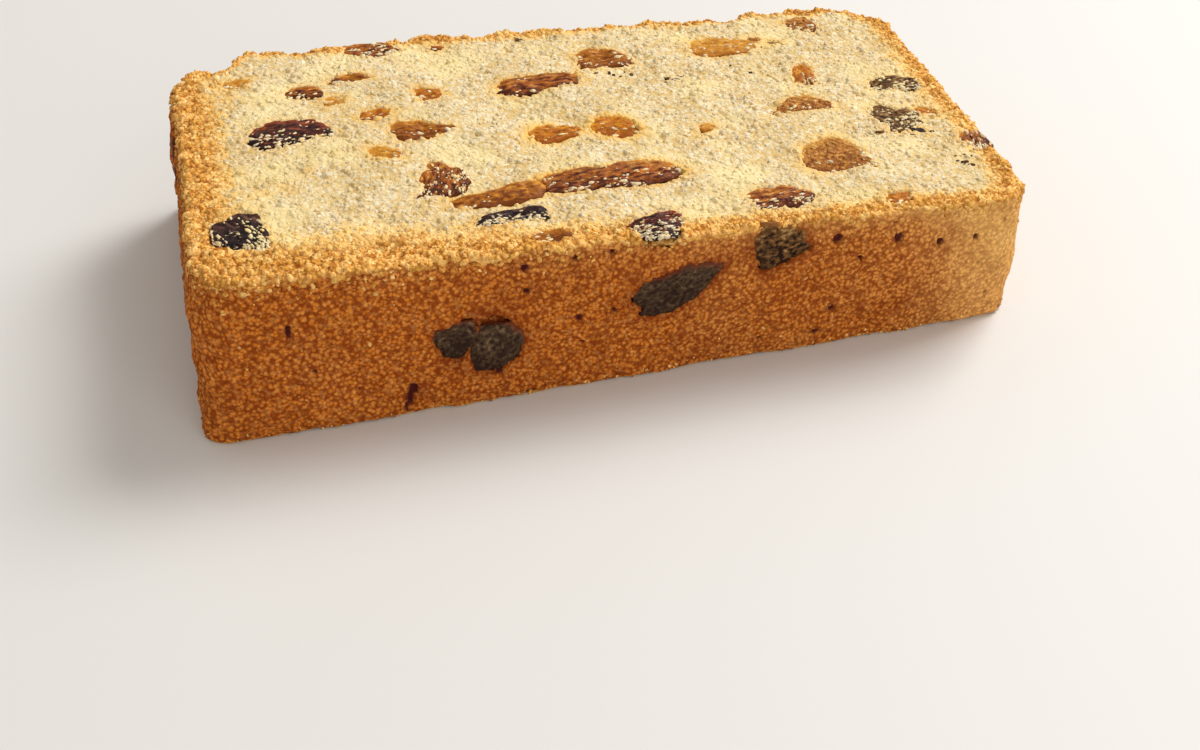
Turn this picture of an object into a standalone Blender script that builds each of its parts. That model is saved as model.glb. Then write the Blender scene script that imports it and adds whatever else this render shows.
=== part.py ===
"""A slice of fruit loaf cake, lying on its cut face, with the dried fruit that shows at its faces.

The slice is cut across a loaf. The front (-Y) is the crust that stood on the base of the tin, the two
ends (-X and +X) stood against its walls, which lean out, and the back (+Y) is the rough top crust. The
cut face that shows is up (+Z), and the slice was cut a little thicker at its left end. Each raisin and
each piece of apricot is a solid of its own, cut flush with the face where it shows and set in a pocket.
"""

import math
import random
from dataclasses import dataclass

import bmesh
import bpy
from mathutils import Matrix, Vector, noise

MM = 0.001

# Driving dimensions of the slice: its width along the tin's base, and its depth and thickness
WIDTH = 96.6 * MM
DEPTH = 53.4 * MM
THICK_LEFT = 21.2 * MM
THICK_RIGHT = 17.7 * MM

# How far the ends lean out to the back, and how far the slice spreads from its cut face to its base
FLARE_LEFT = 0.4 * MM
FLARE_RIGHT = 1.1 * MM
SPREAD_LEFT = 2.0 * MM
SPREAD_RIGHT = 0.7 * MM
SPREAD_POWER = 0.6
BASE_TWIST = 0.9 * MM

# Corner radii in plan, at the base and at the cut face: the tin's corners at the front, worn
# shoulders at the back
RADII_FRONT_LEFT = (3.2 * MM, 6.5 * MM)
RADII_FRONT_RIGHT = (4.2 * MM, 5.6 * MM)
RADII_BACK_RIGHT = (6.0 * MM, 8.5 * MM)
RADII_BACK_LEFT = (2.0 * MM, 2.0 * MM)

# Softened edges, and how uneven the faces are
EDGE_SOFTNESS = 0.5 * MM
LEAST_RADIUS = 0.2 * MM
BELLY = 0.25 * MM
FACE_SWELL = 0.22 * MM
CRUST_CRAG = 0.25 * MM
TOP_CRUST_CRAG = 1.1 * MM

# Crossing waves of an uneven face: length, heading in plan, lean with height, and share
WAVES = (
    (16.0 * MM, 0.5, 0.4, 0.50),
    (8.0 * MM, -0.7, 0.7, 0.40),
    (5.0 * MM, 0.9, 0.9, 0.30),
)
WAVE_BEND = 1.3
CRAG_SINK = 0.35

# How far a crag sinks and stands out at most, as shares of its size, where over the depth the rough
# top crust begins, and how close to the rim the skin is pushed and how sharply its direction turns
CRAG_REACH = (-1.0, 0.35)
TOP_CRUST_FROM = 0.80
RIM_POWER = 10
FACING_POWER = 12

# The broken corner at the back left, where the top crust has come away
NOTCH_WIDTH = 8.0 * MM
NOTCH_DEPTH = 5.0 * MM
NOTCH_AT_BASE = 0.45
NOTCH_FADE = (0.6 * NOTCH_WIDTH, 1.25 * NOTCH_WIDTH)
NOTCH_FROM = 0.55

# Cells of the slice's shell along X, Y and Z
CELLS_X = 34
CELLS_Y = 20
SIDE_LEVELS = (0.0, 0.05, 0.3, 0.55, 0.8, 0.955, 1.0)

# Fruit
POCKET_GAP = 0.32 * MM
FRUIT_LUMP = 0.16
FRUIT_BEND = 0.10
LUMPS_ACROSS = 1.6
LUMP_STEP = (3.7, 1.3, 0.0)
LUMP_START = (0.0, 0.0, 0.5)
PROUD_SHARE = 0.07
BACK_SINK = 0.5 * TOP_CRUST_CRAG
BASE_CLEARANCE = 0.3 * MM
FRUIT_SEGMENTS = 2


@dataclass(frozen=True)
class Fruit:
    """One piece of fruit, in millimetres and degrees on the face where it shows."""

    kind: str
    face: str
    along: float
    across: float
    length: float
    width: float
    turn: float = 0.0
    depth: float = 3.0


# Fruit on the cut face: from the left end, from the front crust, length, width and turn.
# Each piece keeps the place that it has on the real slice.
TOP_FRUIT = (
    Fruit("raisin", "top", 6.5, 9.4, 8.0, 5.4, -62, 3.6),
    Fruit("raisin", "top", 12.9, 30.8, 10.4, 5.4, 12, 3.4),
    Fruit("raisin", "top", 15.3, 40.6, 4.4, 3.0, 10, 2.4),
    Fruit("raisin", "top", 25.3, 50.6, 6.8, 3.8, -4, 3.0),
    Fruit("raisin", "top", 29.4, 16.6, 7.2, 5.6, 75, 3.0),
    Fruit("raisin", "top", 35.3, 7.2, 7.4, 2.4, 2, 2.4),
    Fruit("raisin", "top", 44.9, 37.8, 10.2, 4.4, 4, 3.2),
    Fruit("raisin", "top", 47.9, 14.1, 15.8, 5.0, 3, 3.4),
    Fruit("raisin", "top", 50.6, 2.7, 7.0, 4.2, 8, 2.4),
    Fruit("raisin", "top", 54.9, 42.8, 7.4, 4.6, -8, 3.0),
    Fruit("raisin", "top", 66.3, 5.2, 7.6, 4.2, 2, 2.4),
    Fruit("raisin", "top", 76.6, 12.4, 9.4, 7.0, -35, 3.6),
    Fruit("raisin", "top", 85.0, 48.8, 4.0, 3.2, 0, 2.4),
    Fruit("raisin", "top", 87.7, 21.4, 6.0, 5.2, -5, 3.0),
    Fruit("raisin", "top", 90.7, 29.8, 6.0, 4.2, 0, 3.0),
    Fruit("raisin", "top", 95.0, 13.6, 4.0, 3.6, 70, 2.6),
    Fruit("apricot", "top", 21.7, 43.0, 4.8, 2.2, 8, 2.2),
    Fruit("apricot", "top", 23.5, 23.7, 3.6, 3.0, -20, 2.4),
    Fruit("apricot", "top", 23.8, 33.5, 3.4, 2.2, 0, 2.2),
    Fruit("apricot", "top", 28.8, 28.9, 7.4, 3.8, -14, 3.0),
    Fruit("apricot", "top", 30.8, 37.8, 3.2, 2.6, 0, 2.2),
    Fruit("apricot", "top", 34.4, 11.7, 11.6, 3.0, 6, 2.8),
    Fruit("apricot", "top", 38.7, 2.7, 4.4, 2.2, 4, 2.0),
    Fruit("apricot", "top", 44.3, 24.5, 6.0, 3.8, 0, 2.8),
    Fruit("apricot", "top", 51.8, 24.8, 5.4, 4.6, 0, 3.0),
    Fruit("apricot", "top", 72.1, 44.3, 9.4, 4.4, -10, 2.8),
    Fruit("apricot", "top", 76.3, 26.3, 7.4, 3.4, 10, 2.6),
    Fruit("apricot", "top", 79.8, 34.4, 4.6, 2.8, 80, 2.4),
)

# Fruit on the crust of the tin's base: from the left end, and down from the cut face
FRONT_FRUIT = (
    Fruit("raisin", "front", 26.8, 10.8, 4.2, 3.6, -20, 2.0),
    Fruit("raisin", "front", 31.6, 12.6, 6.6, 4.8, 58, 2.2),
    Fruit("raisin", "front", 52.6, 7.5, 10.6, 4.4, 29, 2.0),
    Fruit("raisin", "front", 64.6, 2.9, 6.8, 4.6, 12, 1.8),
)

# Fruit on the faces that the photograph doesn't show: how many across and up each face,
# the jitter of their places as a share of a cell, and the seed
HIDDEN_FACES = {
    "base": (5, 2, 0.20, 11),
    "back": (4, 1, 0.18, 12),
    "left": (2, 1, 0.16, 13),
    "right": (2, 1, 0.16, 24),
}
HIDDEN_LENGTH = (4.5, 8.5)
HIDDEN_WIDTH = (2.8, 4.2)
HIDDEN_DEPTH = 2.2
HIDDEN_TURN = 40.0
APRICOT_EVERY = 3

COLOURS = {
    "cake": ((0.80, 0.58, 0.27, 1.0), 0.85),
    "raisin": ((0.075, 0.022, 0.012, 1.0), 0.35),
    "apricot": ((0.48, 0.16, 0.03, 1.0), 0.40),
}


def top_height(x):
    """Height of the cut face at x: the slice is a wedge, thicker at its left end."""
    share = x / WIDTH + 0.5
    return THICK_LEFT + (THICK_RIGHT - THICK_LEFT) * share


def half_width(side, v, level):
    """Half the slice's width on the side that has this sign, at v over its depth and a level from 0 to 1."""
    flare, spread = (FLARE_LEFT, SPREAD_LEFT) if side < 0 else (FLARE_RIGHT, SPREAD_RIGHT)
    return WIDTH / 2 + flare * (v + 1.0) / 2 + spread * (1.0 - level) ** SPREAD_POWER


def front_lean(x, v, level):
    """How far the front crust stands back below the cut face: outwards at the left, inwards at the right."""
    return BASE_TWIST * (1.0 - level) * (2.0 * x / WIDTH) * (1.0 - v) / 2


def smooth_step(low, high, value):
    """0 below low, 1 above high, and a smooth rise between them."""
    share = min(1.0, max(0.0, (value - low) / (high - low)))
    return share * share * (3.0 - 2.0 * share)


def waves(x, y, z):
    """Sum of crossing sine waves, each bent by the one before it, from about -1.2 to 1.2."""
    total, bend = 0.0, 0.0
    for length, heading, lean, share in WAVES:
        along = x * math.cos(heading) + y * math.sin(heading) + lean * z
        wave = math.sin(2.0 * math.pi * along / length + bend)
        total += share * wave
        bend = WAVE_BEND * wave
    return total


def clear_scene():
    """Removes what the scene holds when the script starts."""
    for obj in list(bpy.data.objects):
        bpy.data.objects.remove(obj)


def make_material(kind):
    """Principled material of one kind of food."""
    colour, roughness = COLOURS[kind]
    material = bpy.data.materials.new(kind)
    material.use_nodes = True
    shader = material.node_tree.nodes["Principled BSDF"]
    shader.inputs["Base Color"].default_value = colour
    shader.inputs["Roughness"].default_value = roughness
    shader.inputs["Metallic"].default_value = 0.0
    material.diffuse_color = colour
    return material


def corner_radius(u, v, level):
    """Radius in plan of the corner in the quarter where u and v lie, at a level."""
    if v < 0:
        at_base, at_cut = RADII_FRONT_LEFT if u < 0 else RADII_FRONT_RIGHT
    else:
        at_base, at_cut = RADII_BACK_LEFT if u < 0 else RADII_BACK_RIGHT
    return at_base + (at_cut - at_base) * level


def edge_inset(level):
    """How far the side draws in at a level from 0 to 1: round at both edges, with a slight belly."""
    thickness = (THICK_LEFT + THICK_RIGHT) / 2
    to_edge = min(level, 1.0 - level) * thickness
    drawn_in = max(0.0, 1.0 - to_edge / EDGE_SOFTNESS)
    curve = EDGE_SOFTNESS * (1.0 - math.sqrt(1.0 - drawn_in * drawn_in))
    return curve + BELLY * (2.0 * level - 1.0) ** 2


def rounded_plan(u, v, level):
    """Maps the square u, v from -1 to 1 to the slice's plan, with each corner turned on its radius."""
    inset = edge_inset(level)
    half_x = half_width(u, v, level) - inset
    half_y = DEPTH / 2 - inset
    radius = max(corner_radius(u, v, level) - inset, LEAST_RADIUS)
    x, y = u * half_x, v * half_y
    a = (abs(x) - (half_x - radius)) / radius
    b = (abs(y) - (half_y - radius)) / radius
    if a > 0 and b > 0:
        pull = max(a, b) / math.hypot(a, b)
        x = math.copysign(half_x - radius + a * pull * radius, x)
        y = math.copysign(half_y - radius + b * pull * radius, y)
    return x, y + front_lean(x, v, level)


def slice_point(u, v, level):
    """A point of the slice's skin: u and v run over its plan, level from its base to its cut face."""
    x, y = rounded_plan(u, v, level)
    z = level * top_height(x)
    rim = max(abs(u), abs(v)) ** RIM_POWER
    facing = Vector([math.copysign(abs(side) ** FACING_POWER, side) for side in (u, v)])
    facing = facing.normalized() if facing.length > 0 else facing
    amplitude = CRUST_CRAG + (TOP_CRUST_CRAG - CRUST_CRAG) * smooth_step(TOP_CRUST_FROM, 1.0, v)
    lowest, highest = CRAG_REACH
    push = amplitude * max(lowest, min(highest, waves(x, y, z) - CRAG_SINK)) * rim
    x, y = x + facing.x * push, y + facing.y * push
    notch = 1.0 - smooth_step(*NOTCH_FADE, x + WIDTH / 2)
    notch *= NOTCH_AT_BASE + (1.0 - NOTCH_AT_BASE) * level
    y -= NOTCH_DEPTH * notch * smooth_step(NOTCH_FROM, 1.0, v)
    if level == 1.0:
        z += FACE_SWELL * (waves(x, y, 0.0) - 0.5 * rim)
    return Vector((x, y, z))


def shell_keys(count_x, count_y, count_z):
    """The quads of a closed box shell, as corners (i, j, k), each seen counter-clockwise from outside."""
    for i in range(count_x):
        for j in range(count_y):
            yield (i, j, count_z), (i + 1, j, count_z), (i + 1, j + 1, count_z), (i, j + 1, count_z)
            yield (i, j, 0), (i, j + 1, 0), (i + 1, j + 1, 0), (i + 1, j, 0)
    for k in range(count_z):
        for i in range(count_x):
            yield (i, 0, k), (i + 1, 0, k), (i + 1, 0, k + 1), (i, 0, k + 1)
            yield (i, count_y, k), (i, count_y, k + 1), (i + 1, count_y, k + 1), (i + 1, count_y, k)
        for j in range(count_y):
            yield (0, j, k), (0, j, k + 1), (0, j + 1, k + 1), (0, j + 1, k)
            yield (count_x, j, k), (count_x, j + 1, k), (count_x, j + 1, k + 1), (count_x, j, k + 1)


def make_slice(material):
    """The slice itself: a closed shell with soft edges, rough crust and a flat base."""
    shell = bmesh.new()
    made = {}

    def vertex(key):
        if key not in made:
            u = 2.0 * key[0] / CELLS_X - 1.0
            v = 2.0 * key[1] / CELLS_Y - 1.0
            made[key] = shell.verts.new(slice_point(u, v, SIDE_LEVELS[key[2]]))
        return made[key]

    for corners in shell_keys(CELLS_X, CELLS_Y, len(SIDE_LEVELS) - 1):
        shell.faces.new([vertex(key) for key in corners])
    base = [face for face in shell.faces if all(vert.co.z == 0.0 for vert in face.verts)]
    bmesh.ops.dissolve_faces(shell, faces=base)
    bmesh.ops.triangulate(shell, faces=shell.faces[:])
    bmesh.ops.recalc_face_normals(shell, faces=shell.faces[:])
    mesh = bpy.data.meshes.new("cake")
    shell.to_mesh(mesh)
    shell.free()
    mesh.materials.append(material)
    obj = bpy.data.objects.new("cake", mesh)
    bpy.context.scene.collection.objects.link(obj)
    return obj


def face_frame(face, along, across):
    """Place on a face, with its first and second directions and its outward normal."""
    left, front = -WIDTH / 2, -DEPTH / 2
    if face in ("top", "base"):
        x, y = left + along, front + across
        up = 1.0 if face == "top" else -1.0
        height = top_height(x) if face == "top" else 0.0
        return Vector((x, y, height)), Vector((1, 0, 0)), Vector((0, up, 0)), Vector((0, 0, up))
    if face in ("front", "back"):
        x = left + along
        out = -1.0 if face == "front" else 1.0
        place = Vector((x, out * DEPTH / 2, top_height(x) - across))
        return place, Vector((-out, 0, 0)), Vector((0, 0, 1)), Vector((0, out, 0))
    out = -1.0 if face == "left" else 1.0
    height = top_height(out * WIDTH / 2)
    x = out * half_width(out, 2.0 * along / DEPTH - 1.0, 1.0 - across / height)
    place = Vector((x, front + along, height - across))
    return place, Vector((0, out, 0)), Vector((0, 0, 1)), Vector((out, 0, 0))


def fruit_frame(fruit):
    """Matrix from a piece's own axes (length, width, outwards) to the slice."""
    place, first, second, normal = face_frame(fruit.face, fruit.along * MM, fruit.across * MM)
    axes = Matrix((first, second, normal)).transposed().to_4x4()
    turn = Matrix.Rotation(math.radians(fruit.turn), 4, "Z")
    return Matrix.Translation(place) @ axes @ turn


def pressed(point):
    """A point of a piece of fruit, drawn back to the faces of the slice so that the knife or tin cut it."""
    level = min(1.0, max(0.0, point.z / top_height(point.x)))
    v = min(1.0, max(-1.0, 2.0 * point.y / DEPTH))
    half_x = half_width(point.x, v, level) - BELLY
    front = DEPTH / 2 - front_lean(point.x, v, level) - BELLY
    half_y = DEPTH / 2 - BACK_SINK if point.y > 0 else front
    for axis, limit in ((0, half_x), (1, half_y)):
        beyond = abs(point[axis]) - limit
        if beyond > 0:
            point[axis] = math.copysign(limit + PROUD_SHARE * beyond, point[axis])
    beyond = point.z - top_height(point.x)
    if beyond > 0:
        point.z = top_height(point.x) + PROUD_SHARE * beyond
    point.z = max(point.z, BASE_CLEARANCE)
    return point


def fruit_mesh(name, fruit, seed, grow, cut):
    """Mesh of one lumpy, bent piece of fruit, grown by a margin, and cut flush with the slice if asked."""
    lump = bmesh.new()
    bmesh.ops.create_icosphere(lump, subdivisions=FRUIT_SEGMENTS, radius=1.0)
    half = Vector((fruit.length / 2, fruit.width / 2, fruit.depth)) * MM
    frame = fruit_frame(fruit)
    offset = Vector(LUMP_START) + seed * Vector(LUMP_STEP)
    for vert in lump.verts:
        unit = vert.co.normalized()
        swell = 1.0 + FRUIT_LUMP * noise.noise(unit * LUMPS_ACROSS + offset)
        point = Vector((unit.x * half.x, unit.y * half.y, unit.z * half.z)) * swell
        point.y += FRUIT_BEND * fruit.width * MM * (2.0 * unit.x * unit.x - 1.0) * math.sin(seed)
        point += unit * grow
        point = frame @ point
        vert.co = pressed(point) if cut else point
    mesh = bpy.data.meshes.new(name)
    lump.to_mesh(mesh)
    lump.free()
    return mesh


def hidden_fruit():
    """Fruit on the faces out of sight, spread over each face by a grid with seeded jitter."""
    found = []
    for face, (columns, rows, jitter, seed) in HIDDEN_FACES.items():
        draw = random.Random(seed)
        long_side = (WIDTH if face in ("base", "back") else DEPTH) / MM
        short_side = (DEPTH if face == "base" else THICK_RIGHT) / MM
        for column in range(columns):
            for row in range(rows):
                along = (column + 0.5 + draw.uniform(-jitter, jitter)) * long_side / columns
                across = (row + 0.5 + draw.uniform(-jitter, jitter)) * short_side / rows
                kind = "apricot" if len(found) % APRICOT_EVERY == 1 else "raisin"
                length = draw.uniform(*HIDDEN_LENGTH)
                width = draw.uniform(*HIDDEN_WIDTH)
                turn = draw.uniform(-HIDDEN_TURN, HIDDEN_TURN)
                found.append(Fruit(kind, face, along, across, length, width, turn, HIDDEN_DEPTH))
    return found


def make_fruit(fruits, materials, pockets):
    """Each piece of fruit as its own object, and the cutter of its pocket."""
    counts = {}
    made = []
    for index, fruit in enumerate(fruits):
        stem = f"{fruit.face}_{fruit.kind}"
        counts[stem] = counts.get(stem, 0) + 1
        name = f"{stem}_{counts[stem]:02d}"
        mesh = fruit_mesh(name, fruit, index + 1, 0.0, cut=True)
        mesh.materials.append(materials[fruit.kind])
        mesh.shade_smooth()
        obj = bpy.data.objects.new(name, mesh)
        bpy.context.scene.collection.objects.link(obj)
        made.append(obj)
        cutter_mesh = fruit_mesh(f"pocket_{name}", fruit, index + 1, POCKET_GAP, cut=False)
        cutter = bpy.data.objects.new(f"pocket_{name}", cutter_mesh)
        cutter.hide_render = True
        cutter.display_type = "WIRE"
        pockets.objects.link(cutter)
    return made


def centre_on_footprint(cake, objects):
    """Parents everything to an empty that puts the middle of the slice's footprint at the origin."""
    xs = [vert.co.x for vert in cake.data.vertices]
    ys = [vert.co.y for vert in cake.data.vertices]
    middle = Vector(((min(xs) + max(xs)) / 2, (min(ys) + max(ys)) / 2, 0.0))
    origin = bpy.data.objects.new("footprint_centre", None)
    bpy.context.scene.collection.objects.link(origin)
    origin.location = -middle
    for obj in objects:
        obj.parent = origin


def main():
    """Builds the slice, its fruit and the pockets that the fruit sits in."""
    clear_scene()
    materials = {kind: make_material(kind) for kind in COLOURS}
    pockets = bpy.data.collections.new("pockets")
    bpy.context.scene.collection.children.link(pockets)
    cake = make_slice(materials["cake"])
    fruits = [*TOP_FRUIT, *FRONT_FRUIT, *hidden_fruit()]
    pieces = make_fruit(fruits, materials, pockets)
    hollow = cake.modifiers.new("pockets", "BOOLEAN")
    hollow.operation = "DIFFERENCE"
    hollow.operand_type = "COLLECTION"
    hollow.collection = pockets
    hollow.solver = "EXACT"
    centre_on_footprint(cake, [cake, *pieces, *pockets.objects])


main()
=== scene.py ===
"""The looks of a slice of apricot and raisin loaf cake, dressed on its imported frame.

The sponge is one fine closed shell over the slice's solid: a crumbly cut face with golden edges, and a
brown crust round the sides. Each raisin and each bit of apricot is a wrinkled piece in place of its solid.
Grains of crumb are real meshes, joined in one piece for each kind.
"""

import enum
import logging
import math
from dataclasses import dataclass, field

import bpy
import numpy as np
from mathutils import Matrix, Vector


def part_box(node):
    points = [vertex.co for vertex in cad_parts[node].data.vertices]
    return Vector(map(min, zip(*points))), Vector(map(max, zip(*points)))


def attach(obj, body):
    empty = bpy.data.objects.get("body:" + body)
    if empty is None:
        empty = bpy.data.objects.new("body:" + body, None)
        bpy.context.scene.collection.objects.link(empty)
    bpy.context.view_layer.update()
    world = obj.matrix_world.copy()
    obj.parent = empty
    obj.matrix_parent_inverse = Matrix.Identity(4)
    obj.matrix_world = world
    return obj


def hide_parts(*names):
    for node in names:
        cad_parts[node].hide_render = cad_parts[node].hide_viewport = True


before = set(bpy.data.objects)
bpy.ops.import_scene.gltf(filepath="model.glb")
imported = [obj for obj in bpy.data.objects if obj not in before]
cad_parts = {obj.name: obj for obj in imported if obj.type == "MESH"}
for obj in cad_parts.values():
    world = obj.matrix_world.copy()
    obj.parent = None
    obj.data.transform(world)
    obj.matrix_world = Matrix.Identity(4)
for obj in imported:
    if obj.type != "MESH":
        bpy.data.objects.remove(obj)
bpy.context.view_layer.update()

LOG = logging.getLogger("cake")
MM = 0.001
BODY = "root"
Array = np.ndarray
Material, Node, Socket, Tree = (
    bpy.types.Material, bpy.types.Node, bpy.types.NodeSocket, bpy.types.NodeTree)
Colour = tuple[float, float, float]


# Numbers spread in space

CELL_PRIMES = np.array([73856093, 19349663, 83492791])
SEED_STEP = 2654435761
MIXING = ((16, 0x7FEB352D), (15, 0x846CA68B))


def cell_random(cells: Array, seed: int) -> Array:
    """Gives each whole-number cell its own random number from 0 to 1.

    The formula: the coordinates times primes, joined by xor and mixed by shifts.

    Args:
        cells: Whole numbers, (..., 3).
        seed: Picks another set of numbers.
    Returns:
        One number for each cell.
    """
    mixed = np.bitwise_xor.reduce(cells.astype(np.int64) * CELL_PRIMES, axis=-1)
    mixed = (mixed + seed * SEED_STEP) & 0xFFFFFFFF
    for shift, factor in MIXING:
        mixed = ((mixed ^ (mixed >> shift)) * factor) & 0xFFFFFFFF
    return (mixed ^ (mixed >> 16)) / 2.0**32


def soft_noise(points: Array, size: float, seed: int) -> Array:
    """Smooth noise from -1 to 1: a random number at each corner of a lattice, blended between corners.

    Args:
        points: Places, (..., 3), in metres.
        size: Edge of a lattice cell in metres.
        seed: Picks another set of numbers.
    Returns:
        The noise at each place.
    """
    scaled = points / size
    low = np.floor(scaled)
    share = scaled - low
    share = share * share * (3 - 2 * share)
    total = np.zeros(points.shape[:-1])
    for corner in np.ndindex(2, 2, 2):
        offset = np.array(corner)
        weight = np.prod(np.where(offset == 1, share, 1 - share), axis=-1)
        total += weight * cell_random(low + offset, seed)
    return 2 * total - 1


def layered_noise(points: Array, *layers: tuple[float, float, int]) -> Array:
    """Sum of soft noises, each given by its share, its size in millimetres and its seed."""
    return sum(share * soft_noise(points, size * MM, seed) for share, size, seed in layers)


def grain_noise(points: Array, size: float, seed: int) -> tuple[Array, Array]:
    """Distance to the nearest of the scattered centres, one in each lattice cell.

    Args:
        points: Places, (..., 3), in metres.
        size: Edge of a lattice cell in metres.
        seed: Picks another set of centres.
    Returns:
        The distance in cells, and a random number that belongs to the nearest centre.
    """
    scaled = points / size
    low = np.floor(scaled)
    nearest = np.full(points.shape[:-1], 9.0)
    owner = np.zeros(points.shape[:-1])
    for corner in np.ndindex(3, 3, 3):
        cell = low + np.array(corner) - 1
        centre = np.stack([cell_random(cell, seed + axis) for axis in (0, 1, 2)], -1) + cell
        distance = np.linalg.norm(scaled - centre, axis=-1)
        closer = distance < nearest
        nearest = np.where(closer, distance, nearest)
        owner = np.where(closer, cell_random(cell, seed + 3), owner)
    return nearest, owner


def smooth_step(low: float, high: float, value: Array) -> Array:
    """0 at low, 1 at high, and a smooth rise between them, also where low is above high."""
    share = np.clip((value - low) / (high - low), 0, 1)
    return share * share * (3 - 2 * share)


# Meshes from arrays

def split_quads(quads: Array) -> Array:
    """Two triangles for each four-sided cell of (n, 4) corner numbers."""
    return np.concatenate([quads[:, [0, 1, 2]], quads[:, [0, 2, 3]]])


def link_object(name: str, data: bpy.types.ID) -> bpy.types.Object:
    """Makes an object in the scene that shows some data."""
    obj = bpy.data.objects.new(name, data)
    bpy.context.scene.collection.objects.link(obj)
    return obj


def make_object(name: str, points: Array, triangles: Array, values: dict[str, Array],
                material: Material, slot: str, replaced: str | None = None) -> None:
    """Makes a smooth mesh object at the origin, which rides on the slice's body.

    Args:
        name: Name of the piece.
        points: Places of the vertices, (n, 3).
        triangles: Corner numbers, (m, 3), counter-clockwise seen from outside.
        values: Numbers (n) or vectors (n, 3) that the finish reads, by name.
        material: Its finish.
        slot: The record's slot; not used.
        replaced: The node that it stands for.
    """
    mesh = bpy.data.meshes.new(name)
    mesh.vertices.add(len(points))
    mesh.vertices.foreach_set("co", points.astype(np.float32).ravel())
    mesh.loops.add(triangles.size)
    mesh.loops.foreach_set("vertex_index", triangles.astype(np.int32).ravel())
    mesh.polygons.add(len(triangles))
    mesh.polygons.foreach_set("loop_start", np.arange(0, triangles.size, 3, dtype=np.int32))
    for label, value in values.items():
        kind, key = ("FLOAT_VECTOR", "vector") if value.ndim == 2 else ("FLOAT", "value")
        layer = mesh.attributes.new(label, kind, "POINT")
        layer.data.foreach_set(key, value.astype(np.float32).ravel())
    mesh.update(calc_edges=True)
    mesh.shade_smooth()
    mesh.materials.append(material)
    obj = link_object(name, mesh)
    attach(obj, BODY)
    if replaced:
        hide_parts(replaced)
    LOG.info("%s: %d triangles", name, len(triangles))


def area_normals(points: Array, triangles: Array) -> Array:
    """Outward direction of each triangle, twice as long as its area."""
    a, b, c = (points[triangles[:, k]] for k in (0, 1, 2))
    return np.cross(b - a, c - a)


def corner_normals(points: Array, triangles: Array) -> Array:
    """Outward direction at each vertex: the sum of its triangles' area normals, made one long."""
    area = area_normals(points, triangles)
    total = np.zeros_like(points)
    for axis, k in np.ndindex(3, 3):
        total[:, axis] += np.bincount(triangles[:, k], area[:, axis], len(points))
    return total / np.maximum(np.linalg.norm(total, axis=1, keepdims=True), 1e-12)


def globe_triangles(rows: int, columns: int) -> Array:
    """Triangles of a closed globe: a pole, rows of columns vertices each, and the other pole."""
    i, j = np.meshgrid(np.arange(rows - 1), np.arange(columns), indexing="ij")
    here, right = 1 + i * columns + j, 1 + i * columns + (j + 1) % columns
    bands = np.stack([here, here + columns, right + columns, right], -1).reshape(-1, 4)
    around = np.arange(columns)
    following = (around + 1) % columns
    last = 1 + (rows - 1) * columns
    top = np.stack([np.zeros_like(around), 1 + around, 1 + following], -1)
    end = np.stack([np.full_like(around, last + columns), last + following, last + around], -1)
    return np.concatenate([top, split_quads(bands), end])


# Shader nodes

class Nodes:
    """Adds nodes to one tree. A value that is a socket is linked, and any other is set."""

    def __init__(self, tree: Tree) -> None:
        self.tree = tree

    def add(self, kind: str, settings: dict | None = None, **values: object) -> Node:
        """Adds one node.

        Args:
            kind: Its type's name, without the leading ShaderNode.
            settings: Its own properties.
            values: Its inputs by name, with _ for a space.
        Returns:
            The node.
        """
        node = self.tree.nodes.new("ShaderNode" + kind)
        for key, value in (settings or {}).items():
            setattr(node, key, value)
        for key, value in values.items():
            self.feed(node.inputs[key.replace("_", " ")], value)
        return node

    def feed(self, socket: Socket, value: object) -> None:
        """Links or sets one input."""
        if isinstance(value, Socket):
            self.tree.links.new(value, socket)
        elif isinstance(value, tuple) and socket.type == "RGBA":
            socket.default_value = (*value, 1.0)
        else:
            socket.default_value = value

    def step(self, operation: str, *values: object, kind: str = "Math") -> Socket:
        """One step of arithmetic on numbers, or with the kind VectorMath on vectors."""
        node = self.add(kind, {"operation": operation})
        for socket, value in zip(node.inputs, values):
            self.feed(socket, value)
        return node.outputs[0]

    def times(self, a: object, b: object) -> Socket:
        """The product."""
        return self.step("MULTIPLY", a, b)

    def plus(self, a: object, b: object) -> Socket:
        """The sum."""
        return self.step("ADD", a, b)

    def shaken(self, value: object, draw: object, amount: float) -> Socket:
        """A value moved by up to half an amount either way, by a random number from 0 to 1."""
        return self.plus(value, self.times(self.step("SUBTRACT", draw, 0.5), amount))

    def blend(self, share: object, a: object, b: object, how: str = "MIX") -> Socket:
        """Colour a turning into colour b by a share."""
        node = self.add("Mix", {"data_type": "RGBA", "blend_type": how})
        for index, value in ((0, share), (6, a), (7, b)):
            self.feed(node.inputs[index], value)
        return node.outputs[2]

    def coats(self, colour: object, *coats: tuple[object, object]) -> object:
        """A colour with further coats over it, each a share and a colour."""
        for share, over in coats:
            colour = self.blend(share, colour, over)
        return colour

    def ramp(self, value: object, low: float, high: float, start: float = 0.0,
             end: float = 1.0) -> Socket:
        """Start at low, end at high, and a smooth change between them."""
        return self.add("MapRange", {"interpolation_type": "SMOOTHSTEP"}, Value=value, From_Min=low,
                        From_Max=high, To_Min=start, To_Max=end).outputs[0]

    def noise(self, place: object, rate: object, detail: float, output: int | str = 0,
              **values: object) -> Socket:
        """Soft noise with so many waves in a metre."""
        return self.add("TexNoise", None, Vector=place, Scale=rate, Detail=detail, **values).outputs[output]

    def held(self, *names: str, output: str = "Fac") -> list[Socket]:
        """The values that the mesh holds under these names."""
        return [self.add("Attribute", {"attribute_name": name}).outputs[output] for name in names]

    def group(self, tree: Tree, **values: object) -> Node:
        """Places a node group with its own values."""
        return self.add("Group", {"node_tree": tree}, **values)


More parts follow.
